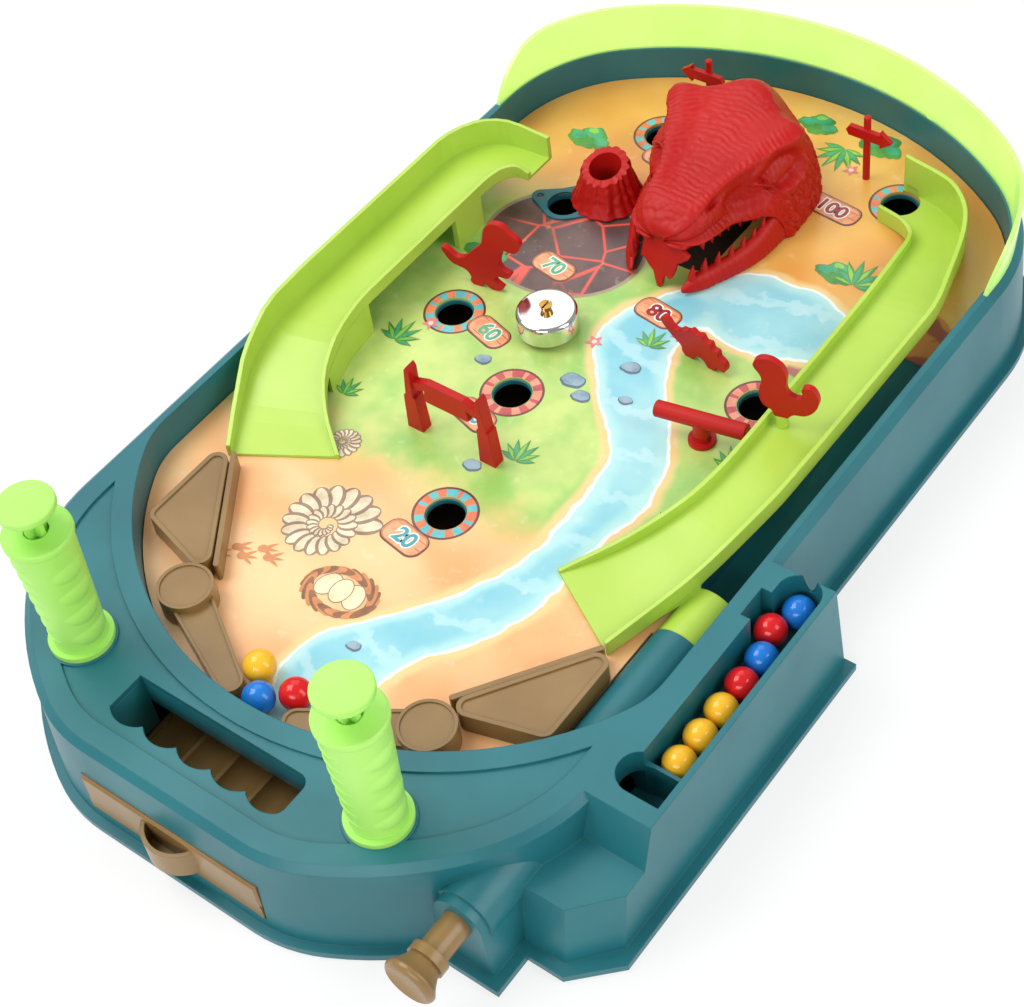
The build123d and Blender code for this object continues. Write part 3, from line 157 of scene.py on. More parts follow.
# what all the mouldings share: scales of the pattern, softness of edges in millimetres
plasticGrain = {"drift": 24.0, "grain": 1400.0, "scuff": 170.0, "scuffed": 0.10, "edge": 0.5,
                "wave": 0.6, "bump": 0.10, "depth": 0.0004, "seam": (0.0012, 0.0008), "ior": 1.48}


def moulded(name, look):
    # injection-moulded plastic: slow colour drift, fine grain, softened edges
    finish, wire, place = startFinish(name)
    drift = place.cloud(look.get("drift", plasticGrain["drift"]), 3.0)
    grain = place.cloud(plasticGrain["grain"], 2.0)
    scuff = place.cloud(plasticGrain["scuff"], 4.0, 0.7).ease(0.60, 0.78)
    colour = drift.ease(0.30, 0.72).tint(rgb(*look["base"]), rgb(*look["shade"]))
    colour = (scuff * plasticGrain["scuffed"]).tint(colour, rgb(*look["worn"]))
    rough = look["rough"] + (drift - 0.5) * 0.10 + scuff * 0.08
    softness = look.get("edge", plasticGrain["edge"]) * mm
    edge = wire.make("ShaderNodeBevel", {"samples": 4}, {"Radius": softness})
    if "seam" in look:  # two mouldings join flush here, so the edge isn't rounded
        plain = wire.make("ShaderNodeNewGeometry", {}, {}, "Normal")
        axis, spots = look["seam"]
        aside = wire.make("ShaderNodeSeparateXYZ", {}, {0: place}, axis)
        bands = [(aside - spotAt).size().ease(*plasticGrain["seam"]) for spotAt in spots]
        flush = bands[0]
        for band in bands[1:]:
            flush = flush + band
        edge = wire.make("ShaderNodeMix", {"data_type": "VECTOR"}, {0: flush, 4: edge, 5: plain}, 1)
    height = grain * 0.5 + drift * plasticGrain["wave"]
    normal = bumped(wire, plasticGrain["bump"], plasticGrain["depth"], height, edge)
    sockets = {"Base Color": colour, "Roughness": rough, "Normal": normal, "IOR": plasticGrain["ior"]}
    sockets.update(look.get("more", {}))
    endFinish(wire, sockets)
    return finish


plasticLooks = {
    "teal_plastic": {
        "base": (31, 113, 122), "shade": (27, 104, 114), "worn": (66, 142, 149), "rough": 0.42, "edge": 0.7,
        "seam": (0, (0.139,)), "more": {"Coat Weight": 0.08, "Coat Roughness": 0.2}},
    "dark_plastic": {
        "base": (20, 52, 58), "shade": (14, 40, 46), "worn": (40, 80, 84), "rough": 0.55},
    "lime_plastic": {
        "base": (183, 215, 82), "shade": (175, 209, 72), "worn": (205, 230, 120), "rough": 0.34, "edge": 0.6,
        "seam": (1, (0.013, 0.114)), "more": {"Coat Weight": 0.12, "Coat Roughness": 0.2}},
    "clear_lime": {
        "base": (222, 255, 158), "shade": (215, 254, 143), "worn": (234, 255, 186), "rough": 0.20,
        # the faint lime emission is a painted glow for light shining through the clear guard
        "more": {"Transmission Weight": 0.5, "Coat Weight": 0.2,
                 "Emission Color": rgb(200, 255, 132), "Emission Strength": 0.22}},
    "green_plastic": {
        "base": (177, 237, 112), "shade": (167, 231, 99), "worn": (200, 245, 148), "rough": 0.38},
    "brown_plastic": {
        "base": (148, 116, 68), "shade": (136, 105, 59), "worn": (184, 154, 106), "rough": 0.34,
        "drift": 34.0, "more": {"Coat Weight": 0.2, "Coat Roughness": 0.2}},
    "red_plastic": {
        "base": (190, 22, 16), "shade": (178, 16, 13), "worn": (206, 56, 44), "rough": 0.46, "edge": 0.6,
        "more": {"Specular IOR Level": 0.32}},
}
ballColours = {"yellow_ball": ((252, 192, 46), (248, 184, 38), (252, 206, 96)),
               "red_ball": ((222, 28, 32), (212, 22, 27), (224, 80, 76)),
               "blue_ball": ((30, 122, 214), (24, 112, 204), (90, 158, 230))}
for name, (base, shade, worn) in ballColours.items():
    plasticLooks[name] = {"base": base, "shade": shade, "worn": worn, "rough": 0.14, "edge": 0.1}

metalGrain = {"spots": 120.0, "edge": 0.3, "bump": 0.05, "depth": 0.0002}


def metal(name, look):
    # drawn or turned metal with faint lines and a few dull spots
    finish, wire, place = startFinish(name)
    fine = place.cloud(look["lines"], 3.0, 0.6)
    dull = place.cloud(metalGrain["spots"], 3.0).ease(0.5, 0.75)
    colour = (fine * 0.5 + dull * 0.4).tint(rgb(*look["base"]), rgb(*look["shade"]))
    rough = look["rough"] + dull * look["dull"]
    edge = wire.make("ShaderNodeBevel", {"samples": 4}, {"Radius": metalGrain["edge"] * mm})
    normal = bumped(wire, metalGrain["bump"], metalGrain["depth"], fine, edge)
    endFinish(wire, {"Base Color": colour, "Roughness": rough, "Normal": normal, "Metallic": 1.0})
    return finish


metalLooks = {
    "bell_chrome": {
        "base": (232, 230, 228), "shade": (214, 212, 212), "rough": 0.09, "dull": 0.06, "lines": 60.0},
    "pin_brass": {
        "base": (206, 160, 82), "shade": (170, 124, 56), "rough": 0.22, "dull": 0.14, "lines": 500.0},
    "spring_steel": {
        "base": (186, 188, 192), "shade": (150, 152, 158), "rough": 0.24, "dull": 0.16, "lines": 700.0},
}

# places on the sheet in millimetres; an oval is its middle x and y, then its half widths
sheetGround = {
    "meadow": (-70.0, -34.0), "sunny": (98.0, 132.0), "cliff": (100.0, 104.0, 26.0, 40.0),
    "stream": 34.0, "streamHalf": 14.0, "streamEnd": 104.0, "pond": (52.0, 104.0, 36.0, 24.0),
    "rock": (-57.0, 97.0, 39.0, 33.0)}
# the clear coat over the whole sheet
lacquer = {"rough": 0.34, "vary": 0.08, "coat": 0.25}


def oval(x, y, shape):
    # below 1 inside one of the sheet's ovals, above 1 outside
    midX, midY, halfX, halfY = sheetGround[shape]
    return ((x - midX) / halfX) ** 2.0 + ((y - midY) / halfY) ** 2.0


def lacquered(colour, drift, normal):
    rough = lacquer["rough"] + (drift - 0.5) * lacquer["vary"]
    return {"Base Color": colour, "Roughness": rough, "Normal": normal, "Coat Weight": lacquer["coat"]}


def printedGround():
    # the printed sheet's ground: sand, meadow, stream, pond, dark rock and a sunny back
    finish, wire, place = startFinish("printed_board")
    apart = wire.make("ShaderNodeSeparateXYZ", {}, {0: place}, 0)
    x = apart.beside(0) * 1000.0
    y = apart.beside(1) * 1000.0
    broad = place.cloud(16.0, 2.0)
    middle = place.cloud(46.0, 3.0)
    small = place.cloud(160.0, 3.0)
    bentX = x + (broad - 0.5) * 44.0
    bentY = y + (middle - 0.5) * 34.0
    dunes = ((bentY + bentX * 0.35) / 7.0).sine() * 0.5 + 0.5
    sand = (broad * 0.8 + dunes * 0.16).ease(0.25, 0.75).tint(rgb(252, 206, 150), rgb(240, 168, 104))
    meadow = (middle * 0.7 + broad * 0.4).ease(0.36, 0.72).tint(rgb(206, 224, 128), rgb(150, 200, 96))
    sunny = broad.ease(0.3, 0.7).tint(rgb(248, 200, 104), rgb(228, 158, 70))
    ground = bentY.ease(*sheetGround["meadow"]).tint(sand, meadow)
    ground = bentY.ease(*sheetGround["sunny"]).tint(ground, sunny)
    strata = ((bentY + bentX * 0.6) / 3.4).sine().ease(-0.3, 0.5)
    cliff = strata.tint(rgb(226, 156, 96), rgb(176, 104, 92))
    ground = oval(bentX, bentY, "cliff").ease(1.0, 0.94).tint(ground, cliff)
    # winding stream, broader at the front
    course = sheetGround["stream"] + ((y + 96.0) / 36.0).sine() * 22.0 + ((y + 20.0) / 17.0).sine() * 5.0
    bank = (x + (middle - 0.5) * 12.0 - course).size() - sheetGround["streamHalf"]
    bank = bank - (y / 29.0).sine() * 4.0
    pond = (oval(x, y, "pond") - 1.0) * 15.0 + (middle - 0.5) * 14.0
    stream = bank.math("MAXIMUM", bank, y - sheetGround["streamEnd"])
    shore = stream.make("ShaderNodeMath", {"operation": "SMOOTH_MIN"}, {0: stream, 1: pond, 2: 8.0})
    ripples = (y + (small - 0.5) * 16.0) / 4.2 + (x / 15.0).sine() * 1.4
    water = (broad * 0.6 + middle * 0.5).ease(0.4, 0.75).tint(rgb(164, 218, 224), rgb(128, 200, 216))
    water = (ripples.sine().ease(0.55, 0.98) * 0.35).tint(water, rgb(216, 242, 244))
    water = shore.ease(-9.0, -1.0).tint(water, rgb(184, 230, 226))
    ground = shore.ease(7.0, 2.0).tint(ground, rgb(238, 206, 140))
    ground = shore.ease(0.8, 0.0).tint(ground, rgb(238, 250, 246))
    ground = shore.ease(-0.9, -1.7).tint(ground, water)
    # dark rock plate with glowing joints round the cone
    plate = oval(x, y, "rock") ** 0.5
    joints = wire.make("ShaderNodeTexVoronoi", {"feature": "DISTANCE_TO_EDGE"},
                       {"Vector": place, "Scale": 52.0, "Randomness": 0.9})
    rock = middle.ease(0.3, 0.7).tint(rgb(112, 84, 80), rgb(84, 62, 62))
    rock = (joints.ease(0.05, 0.015) * broad.ease(0.42, 0.56)).tint(rock, rgb(236, 92, 74))
    ground = plate.ease(1.06, 1.03).tint(ground, rgb(166, 150, 118))
    ground = plate.ease(1.0, 0.985).tint(ground, rock)
    speckle = small.ease(0.62, 0.74) * 0.12
    ground = speckle.tint(ground, rgb(255, 250, 226))
    sockets = lacquered(ground, small, bumped(wire, 0.05, 0.0003, small))
    sockets["Coat Roughness"] = 0.25
    endFinish(wire, sockets)
    return finish


def ink(name, base, shade, scale=140.0):
    # a printed motif: two tones of one ink with a soft brush drift
    finish, wire, place = startFinish(name)
    brush = place.cloud(scale, 3.0)
    fine = place.cloud(900.0, 2.0)
    colour = (brush * 0.9 + (fine - 0.5) * 0.2).ease(0.32, 0.66).tint(rgb(*base), rgb(*shade))
    endFinish(wire, lacquered(colour, brush, bumped(wire, 0.04, 0.0002, fine)))
    return finish


finishes = {name: moulded(name, look) for name, look in plasticLooks.items()}
finishes.update({name: metal(name, look) for name, look in metalLooks.items()})
finishes["printed_board"] = printedGround()
# the chute is painted a darker, duller brown for the shade that falls deep in the case
chuteShadeLook = {"base": (62, 46, 29), "shade": (52, 39, 25), "worn": (88, 68, 46), "rough": 0.55}
slotOf = {entry["node"]: entry["material_slot"] for entry in frame["record"]["subparts"]}
for nodeName, node in nodes.items():
    node.data.materials.clear()
    node.data.materials.append(finishes[slotOf[nodeName]])
nodes["ball_chute"].data.materials[0] = moulded("brown_chute_painted_shade", chuteShadeLook)
print("finishes:", len(finishes))


def addObject(name, data):
    made = bpy.data.objects.new(name, data)
    bpy.context.scene.collection.objects.link(made)
    return made


def finishPiece(name, bm, slot, sharp=35.0, inks=None):
    # closes a bmesh into an object at the origin that rides on the fixed body
    for edge in bm.edges:
        if len(edge.link_faces) == 2:
            edge.smooth = edge.calc_face_angle(0.0) < math.radians(sharp)
    for face in bm.faces:
        face.smooth = True
    mesh = bpy.data.meshes.new(name)
    bm.to_mesh(mesh)
    bm.free()
    for material in inks or [finishes[slot]]:
        mesh.materials.append(material)
    piece = addObject(name, mesh)
    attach(piece, "body")
    return piece


def put(x, y, z, turn=0.0):
    # place in millimetres and a turn about Z in degrees
    return Matrix.Translation((x * mm, y * mm, z * mm)) @ Matrix.Rotation(math.radians(turn), 4, "Z")


def onlyVerts(items):
    return [item for item in items if isinstance(item, bmesh.types.BMVert)]


def gridVerts(bm, columns, rows):
    # a flat grid from -1 to 1 each way, ready to be bent into shape
    return bmesh.ops.create_grid(bm, x_segments=columns, y_segments=rows, size=1.0)["verts"]


def rimEdges(bm):
    return [edge for edge in bm.edges if edge.is_boundary]


def edgesOf(verts):
    return list({edge for vert in verts for edge in vert.link_edges})


def softenEdges(bm, edges, offset, segments):
    return bmesh.ops.bevel(bm, geom=edges, offset=offset * mm, offset_type="OFFSET", segments=segments,
                           profile=0.5, affect="EDGES", material=-1)["verts"]


def block(bm, wide, deep, tall):
    made = bmesh.ops.create_cube(bm, size=1.0)["verts"]
    bmesh.ops.scale(bm, vec=(wide * mm, deep * mm, tall * mm), verts=made)
    return made


def paint(verts, index):
    for face in {face for vert in verts for face in vert.link_faces}:
        face.material_index = index


# printed motifs lie on the sheet as very thin layers, each a little above the last
levels = {"count": 0, "step": 0.0004, "start": 0.02}


def nextLevel():
    levels["count"] += 1
    return boardTop + levels["start"] + levels["step"] * levels["count"]


def disc(bm, segments):
    return bmesh.ops.create_circle(bm, cap_ends=True, segments=segments, radius=1.0)["verts"]


def spot(bm, x, y, halfLong, halfWide, turn, index, wobble=0.0, segments=20):
    made = disc(bm, segments)
    for vert in made:
        seed = Vector((vert.co.x * 1.7 + x * 0.13, vert.co.y * 1.7 + y * 0.17, 0.3))
        push = 1 + wobble * noise.noise(seed)
        vert.co = Vector((vert.co.x * halfLong * push * mm, vert.co.y * halfWide * push * mm, 0))
    bmesh.ops.transform(bm, matrix=put(x, y, nextLevel(), turn), verts=made)
    paint(made, index)


def frond(bm, x, y, length, width, turn, index, segments=22):
    # pointed leaf that starts at x, y
    made = disc(bm, segments)
    for vert in made:
        along = (vert.co.x + 1) / 2
        taper = (0.35 + 0.9 * along) * (1.02 - along) * 1.5
        half = math.copysign(abs(vert.co.y) ** 0.8, vert.co.y) * taper
        vert.co = Vector((along * length * mm, half * width / 2 * mm, 0))
    bmesh.ops.transform(bm, matrix=put(x, y, nextLevel(), turn), verts=made)
    paint(made, index)


def tileRing(bm, x, y, inner, outer, indexes, segments=40):
    made = bmesh.ops.create_circle(bm, cap_ends=False, segments=segments, radius=outer * mm)["verts"]
    inside = onlyVerts(bmesh.ops.extrude_edge_only(bm, edges=edgesOf(made))["geom"])
    bmesh.ops.scale(bm, vec=(inner / outer, inner / outer, 1), verts=inside)
    faces = {face for vert in inside for face in vert.link_faces}
    for face in faces:
        centre = face.calc_center_median()
        step = int((math.atan2(centre.y, centre.x) / math.tau + 0.5) * segments / 2 + 0.25)
        face.material_index = indexes[step % len(indexes)]
    bmesh.ops.reverse_faces(bm, faces=[face for face in faces if face.normal.z < 0])
    bmesh.ops.transform(bm, matrix=put(x, y, nextLevel()), verts=made + inside)


def patch(bm, x, y, long, wide, turn, index):
    # flat shape with round ends
    made = bmesh.ops.create_grid(bm, x_segments=1, y_segments=1, size=0.5)["verts"]
    bmesh.ops.scale(bm, vec=(long * mm, wide * mm, 1), verts=made)
    rounded = bmesh.ops.bevel(bm, geom=made, offset=wide * 0.4 * mm, offset_type="OFFSET", segments=6,
                              profile=0.5, affect="VERTICES", material=-1)["verts"]
    paint(rounded, index)
    bmesh.ops.transform(bm, matrix=put(x, y, nextLevel(), turn), verts=rounded)


def digits(bm, text, x, y, size, turn, index, swell):
    curve = bpy.data.curves.new("digits", "FONT")
    curve.body = text
    curve.size = size * mm
    curve.align_x = "CENTER"
    curve.align_y = "CENTER"
    curve.offset = swell * mm
    holder = addObject("digits", curve)
    bpy.context.view_layer.update()
    shown = holder.evaluated_get(bpy.context.evaluated_depsgraph_get())
    mesh = bpy.data.meshes.new_from_object(shown)
    bpy.data.objects.remove(holder)
    mesh.transform(put(x, y, nextLevel(), turn))
    before = set(bm.faces)
    bm.from_mesh(mesh)
    for face in bm.faces:
        if face not in before:
            face.material_index = index


markInks = [ink(*row) for row in (
    ("inkBorder", (122, 66, 50), (96, 48, 40)),
    ("inkPlaque", (246, 176, 128), (232, 148, 100), 260.0),
    ("inkWhite", (252, 250, 240), (244, 240, 226)),
    ("inkTeal", (104, 196, 196), (84, 178, 184)),
    ("inkOrange", (232, 128, 84), (216, 108, 70)),
    ("inkRose", (206, 84, 84), (184, 66, 72)),
    ("inkPeach", (240, 160, 128), (226, 140, 110)),
    ("inkCoral", (240, 142, 96), (224, 120, 80)),
    ("inkSea", (70, 168, 176), (56, 150, 164)),
    ("inkMint", (96, 186, 140), (74, 166, 122)),
    ("inkWine", (160, 40, 52), (136, 30, 44)),
    ("inkGrain", (212, 122, 82), (190, 98, 66)),
    ("inkEdge", (206, 138, 96), (172, 100, 70)),
)]
(border, plaqueFace, white, teal, orange, rose, peach,
 coral, sea, mint, wine, woodGrain, plaqueEdge) = range(len(markInks))
# each hole with the two inks of its ring
holes = {
    "inner": 9.3, "outer": 13.2, "line": 1.1, "overlap": 0.1,
    "places": [(-3.2, -60.6, teal, orange), (-20.8, 8.6, rose, peach), (-73.4, 35.5, teal, coral),
        (61.4, 195.3, teal, coral), (-60.7, 183.2, teal, orange), (73.4, 56.7, rose, peach)]}
# each score with its place, turn and ink
scores = {
    "height": 10.5, "wide": 13.4, "ends": 9.4, "perDigit": 6.8, "outline": 0.95, "bold": 0.32,
    "places": [("20", -9.5, -80.0, -10.0, sea), ("50", -27.0, -10.5, -16.0, sea),
        ("60", -52.0, 33.0, -16.0, mint), ("70", -52.0, 82.0, -10.0, mint),
        ("80", 6.0, 81.0, -8.0, wine), ("60", -50.0, 168.0, -12.0, mint),
        ("100", 36.0, 178.0, -6.0, wine)]}
sheetMarks = bmesh.new()


def plaque(x, y, long, wide, turn):
    # little wooden board: dark edge, light edge, face and a few lines of grain
    patch(sheetMarks, x, y, long, wide, turn, border)
    patch(sheetMarks, x - 0.2, y + 0.3, long - 1.3, wide - 1.4, turn, plaqueEdge)
    patch(sheetMarks, x, y, long - 2.6, wide - 2.6, turn, plaqueFace)
    lines = ((-0.30, -0.30, 0.34), (0.24, 0.12, 0.40), (-0.06, 0.30, 0.22), (0.33, -0.38, 0.2))
    for shift, slide, length in lines:
        ahead, aside = Matrix.Rotation(math.radians(turn), 2) @ Vector((slide * long, shift * wide))
        frond(sheetMarks, x + ahead, y + aside, length * long, 0.9, turn, woodGrain)


for holeX, holeY, first, second in holes["places"]:
    lineInner, lineOuter = holes["inner"] - holes["overlap"], holes["outer"] + holes["line"]
    tileRing(sheetMarks, holeX, holeY, lineInner, lineOuter, (border,))
    tileRing(sheetMarks, holeX, holeY, holes["inner"], holes["outer"], (first, second))
for text, markX, markY, turn, colourIndex in scores["places"]:
    plaque(markX, markY, scores["ends"] + scores["perDigit"] * len(text), scores["wide"], turn)
    digits(sheetMarks, text, markX, markY, scores["height"], turn, white, scores["outline"])
    digits(sheetMarks, text, markX, markY, scores["height"], turn, colourIndex, scores["bold"])
finishPiece("score_marks", sheetMarks, "printed_board", inks=markInks)
print("score marks drawn")

motifInks = [ink(*row) for row in (
    ("inkLeafLight", (150, 208, 84), (124, 188, 66)),
    ("inkLeafDeep", (84, 158, 66), (62, 132, 58)),
    ("inkLeafSea", (74, 178, 128), (52, 150, 112)),
    ("inkBark", (150, 102, 62), (122, 80, 48)),
    ("inkStone", (150, 176, 190), (116, 142, 164)),
    ("inkStoneDark", (92, 112, 128), (78, 96, 112)),
    ("inkBlossom", (238, 134, 140), (222, 104, 118)),
    ("inkCream", (244, 228, 188), (226, 200, 152)),
    ("inkTrack", (214, 140, 84), (198, 122, 72)),
    ("inkShell", (236, 222, 190), (206, 184, 148)),
    ("inkShellDark", (156, 128, 104), (132, 106, 88)),
)]
(leafLight, leafDeep, leafSea, bark, stone, stoneDark, blossom,
 cream, earth, shell, shellDark) = range(len(motifInks))
motifs = bmesh.new()


def plant(x, y, size, count, start, spread):
    # tuft of pointed leaves, each with a light middle
    order = sorted(range(count), key=lambda number: -abs(number - (count - 1) / 2))
    for number in order:
        share = number / (count - 1)
        turn = start + spread * share
        length = size * (0.8 + 0.35 * math.sin(math.pi * share))
        frond(motifs, x, y, length, size * 0.40, turn, leafDeep)
        frond(motifs, x, y, length * 0.86, size * 0.22, turn + 2, leafLight if number % 2 else leafSea)


def bush(x, y, size):
    # low round bush of lobes, dark below and light above
    under = ((-0.7, -0.1, 0.6), (0.7, -0.14, 0.56), (0.0, 0.3, 0.8), (0.0, -0.2, 0.75))
    over = ((-0.7, 0.02, 0.44), (0.66, 0.0, 0.4), (-0.06, 0.46, 0.56))
    for lobes, flat, index in ((under, 0.8, leafDeep), (over, 0.74, leafSea)):
        for offsetX, offsetY, share in lobes:
            lobe = size * share
            spot(motifs, x + offsetX * size, y + offsetY * size, lobe, lobe * flat, 0, index, 0.3, 28)
    spot(motifs, x - 0.16 * size, y + 0.6 * size, size * 0.3, size * 0.2, 10, leafLight, 0.3)


def track(x, y, turn, size):
    # three-toed footprint
    for toe in (-34, 0, 34):
        frond(motifs, x, y, size, size * 0.34, turn + toe, earth)
    spot(motifs, x, y, size * 0.34, size * 0.28, turn, earth)


def spiralShell(x, y, size, turn, ribs=34):
    # coiled fossil shell: ribs that shrink as they wind inward
    for number in range(ribs):
        share = number / (ribs - 1)
        angle = turn + 700 * share
        reach = size * (1 - 0.86 * share)
        ribX = x + reach * 0.8 * math.cos(math.radians(angle))
        ribY = y + reach * 0.8 * math.sin(math.radians(angle))
        spot(motifs, ribX, ribY, reach * 0.34 + 0.5, reach * 0.22 + 0.5, angle, shellDark)
        spot(motifs, ribX, ribY, reach * 0.34, reach * 0.15, angle, shell)


def nest(x, y, size, twigs=22):
    for number in range(twigs):
        angle = 360 / twigs * number
        twigX = x + size * math.cos(math.radians(angle))
        twigY = y + size * 0.66 * math.sin(math.radians(angle))
        spot(motifs, twigX, twigY, size * 0.40, size * 0.12, angle + 78, bark if number % 2 else earth)
    for offset, lean in ((-0.46, 70), (0.44, 106), (0.0, 92)):
        eggX, eggY = x + offset * size, y + 0.05 * size
        spot(motifs, eggX, eggY, size * 0.44, size * 0.32, lean, shellDark)
        spot(motifs, eggX, eggY, size * 0.41, size * 0.29, lean, cream)


# places in millimetres, then each motif's own sizes and turns
picture = {
    "shells": ((-42.0, -92.0, 21.0, 30.0), (-66.0, -52.0, 9.0, 200.0)), "nest": (-14.0, -116.0, 15.0),
    "stones": ((-2, 28, 4.2), (6, 22, 3.4), (-44, 18, 3.0), (15, 47, 3.6), (24, 30, 2.6),
        (-10, -34, 3.2), (-88, -52, 2.6), (8, -134, 2.4)),
    "bushes": ((-84, 74, 9), (-40, 62, 6), (-90, 164, 9), (34, 226, 9), (0, 226, 8),
        (-34, 224, 8), (60, 142, 8)),
    "plants": ((84, 20, 13, 8, 10, 160), (4, -22, 11, 7, 20, 150), (-86, 8, 12, 7, 0, 170),
        (14, 62, 10, 6, 20, 150), (70, 140, 14, 8, 0, 180), (-84, -30, 9, 6, 20, 140),
        (-30, 212, 15, 9, 180, 180), (20, 216, 14, 8, 180, 180), (80, -20, 11, 7, 10, 160)),
    "flowers": ((-24, 200), (30, 205), (-78, 24), (22, 74), (-8, 52), (-46, 196)),
    "petals": 5, "petalLong": 4.2, "petalWide": 3.2, "heart": 1.2,
    "tracks": 6, "trackX": -76.0, "trackY": -128.0, "strideX": 5.0, "strideY": 2.5, "straddle": 5.0,
    "trackTurn": 20.0, "trackSize": 7.0}
for place in picture["shells"]:
    spiralShell(*place)
nest(*picture["nest"])
for number in range(picture["tracks"]):
    aside = -picture["straddle"] if number % 2 else picture["straddle"]
    track(picture["trackX"] + picture["strideX"] * number + aside,
          picture["trackY"] + picture["strideY"] * number, picture["trackTurn"], picture["trackSize"])
for stoneX, stoneY, size in picture["stones"]:
    spot(motifs, stoneX, stoneY, size * 1.35, size * 1.02, 12, stoneDark, 0.2)
    spot(motifs, stoneX - 0.3, stoneY + 0.5, size * 1.2, size * 0.8, 12, stone, 0.2)
for place in picture["bushes"]:
    bush(*place)
for place in picture["plants"]:
    plant(*place)
for flowerX, flowerY in picture["flowers"]:
    for petal in range(picture["petals"]):
        turn = 360 / picture["petals"] * petal
        frond(motifs, flowerX, flowerY, picture["petalLong"], picture["petalWide"], turn, blossom)
    spot(motifs, flowerX, flowerY, picture["heart"], picture["heart"], 0, cream)
finishPiece("sheet_picture", motifs, "printed_board", inks=motifInks)
print("sheet picture drawn")


def bend(stops, value):
    # smooth curve through (place, size) stops
    places = [stop[0] for stop in stops]
    value = min(max(value, places[0]), places[-1])
    left = max(index for index, place in enumerate(places[:-1]) if place <= value)
    gap = places[left + 1] - places[left]
    part = (value - places[left]) / gap
    before, after = max(left - 1, 0), min(left + 2, len(stops) - 1)
    slopeLeft = (stops[left + 1][1] - stops[before][1]) / (places[left + 1] - places[before]) * gap
    slopeRight = (stops[after][1] - stops[left][1]) / (places[after] - places[left]) * gap
    square, cube = part ** 2, part ** 3
    return ((2 * cube - 3 * square + 1) * stops[left][1] + (cube - 2 * square + part) * slopeLeft
            + (3 * square - 2 * cube) * stops[left + 1][1] + (cube - square) * slopeRight)


def hump(distance, reach):
    return math.exp(-(distance / reach) ** 2)


def gate(value, low, high, soft):
    # 1 between low and high, fading to 0 over soft on each side
    rise = min(max((value - low) / soft + 0.5, 0), 1)
    fall = min(max((high - value) / soft + 0.5, 0), 1)
    return rise * fall


# head: a carved skull over the deck; each curve runs from 0 at the nose to 1 at the back
head = {
    "x": -8.0, "lean": 4.0, "front": 101.5, "length": 89.5, "close": 0.08, "columns": 160, "rows": 220,
    "wall": 2.2,
    "width": [(0, 3.0), (0.012, 10.0), (0.03, 14.2), (0.07, 17.2), (0.14, 18.8), (0.30, 20.6),
        (0.40, 26.0), (0.475, 32.0), (0.55, 36.2), (0.65, 37.0), (0.78, 37.0), (0.87, 36.4),
        (1, 31.0)],
    "top": [(0, 24.8), (0.012, 28.8), (0.04, 32.0), (0.12, 35.6), (0.24, 37.6), (0.40, 40.0),
        (0.55, 43.6), (0.70, 46.8), (0.82, 48.8), (0.92, 49.6), (1, 45.5)],
    "lip": [(0, 24.5), (0.10, 24.0), (0.15, 23.4), (0.30, 20.2), (0.40, 18.0), (0.455, 17.8),
        (0.50, 14.8), (0.53, 8.0), (0.55, 1.2), (0.60, 0.1), (1, 0.1)],
    "square": [(0, 0.75), (0.1, 0.60), (0.25, 0.52), (0.45, 0.56), (0.60, 0.60), (0.70, 0.45),
        (0.76, 0.38), (0.86, 0.70), (0.93, 1.05), (1, 1.2)],
    "brow": [(0.1, 50), (0.3, 51), (0.5, 54), (0.6, 53), (0.745, 47), (0.9, 48)]}
# heights and depths in millimetres; places run from 0 at the nose to long at the back, nearly millimetres,
# and in degrees below the brow; swells are height, place and its reach, degrees above the lip and their reach
carving = {
    "long": 90, "wrinkle": 0.62, "wrinklePitch": 3.1, "fold": 0.36, "foldPitch": 2.7, "scale": 1.6,
    "brow": [(0.1, 0.6), (0.25, 2.4), (0.5, 3.2), (0.62, 4.4), (0.745, 4.4), (0.83, 1.6), (0.9, 0.0)],
    "browUnder": 2.3, "browOver": 13.0,
    "socket": 5.2, "eyeAt": 54.0, "eyeBelow": 11.5, "eyeLong": 11.5, "eyeTall": 5.6, "lid": 1.1,
    "eyeball": 2.2, "nick": 1.6, "nickAt": 69.3, "nickBelow": 7.0,
    "pit": 5.0, "pitAt": 36.0, "pitBelow": 22.0, "pitLong": 11.0, "pitTall": 5.6,
    "nostril": 2.8, "nostrilAt": 18.9, "nostrilBelow": 5.0, "nostrilLong": 3.6, "nostrilTall": 1.5,
    "lip": [(0, 1.8), (0.2, 2.2), (0.36, 1.3), (0.53, 0.8), (0.6, 0)], "lipGroove": 0.9,
    "swells": {"jawMuscle": (1.8, 57.6, 8.617, 12, 12), "dome": (1.6, 83.7, 9.0, 90, 20),
        "domeDips": (-2.6, 81.0, 8.0, 58, 11), "nose": (1.6, 9.0, 7.0, 82, 26)},
    "ring": 0.5, "ringX": 12.0, "ringY": 174.0, "ringInner": 1.3, "ringOuter": 2.5, "skin": 0.22}


def headMiddle(share):
    # the head points a little to the player's right
    return head["x"] + head["lean"] * (0.7 - share)


def headPoint(share, angle):
    # point on the smooth skull, angle 0 at the right lip and 180 at the left
    close = max(share - 1, 0) / head["close"] * math.pi / 2
    spread = max(math.cos(close), 0.004)
    low = bend(head["lip"], share)
    side = bend(head["width"], share) * spread
    rise = (bend(head["top"], share) - low) * (0.80 + 0.20 * spread)
    across, upward = math.cos(math.radians(angle)), max(math.sin(math.radians(angle)), 0)
    power = 2 / bend(head["square"], share)
    reach = (abs(across) ** power + upward ** power) ** (-1 / power)
    y = head["front"] + head["length"] * min(share, 1) + 2.0 * math.sin(close)
    return Vector((headMiddle(share) + side * reach * across, y, boardTop + low + rise * reach * upward))


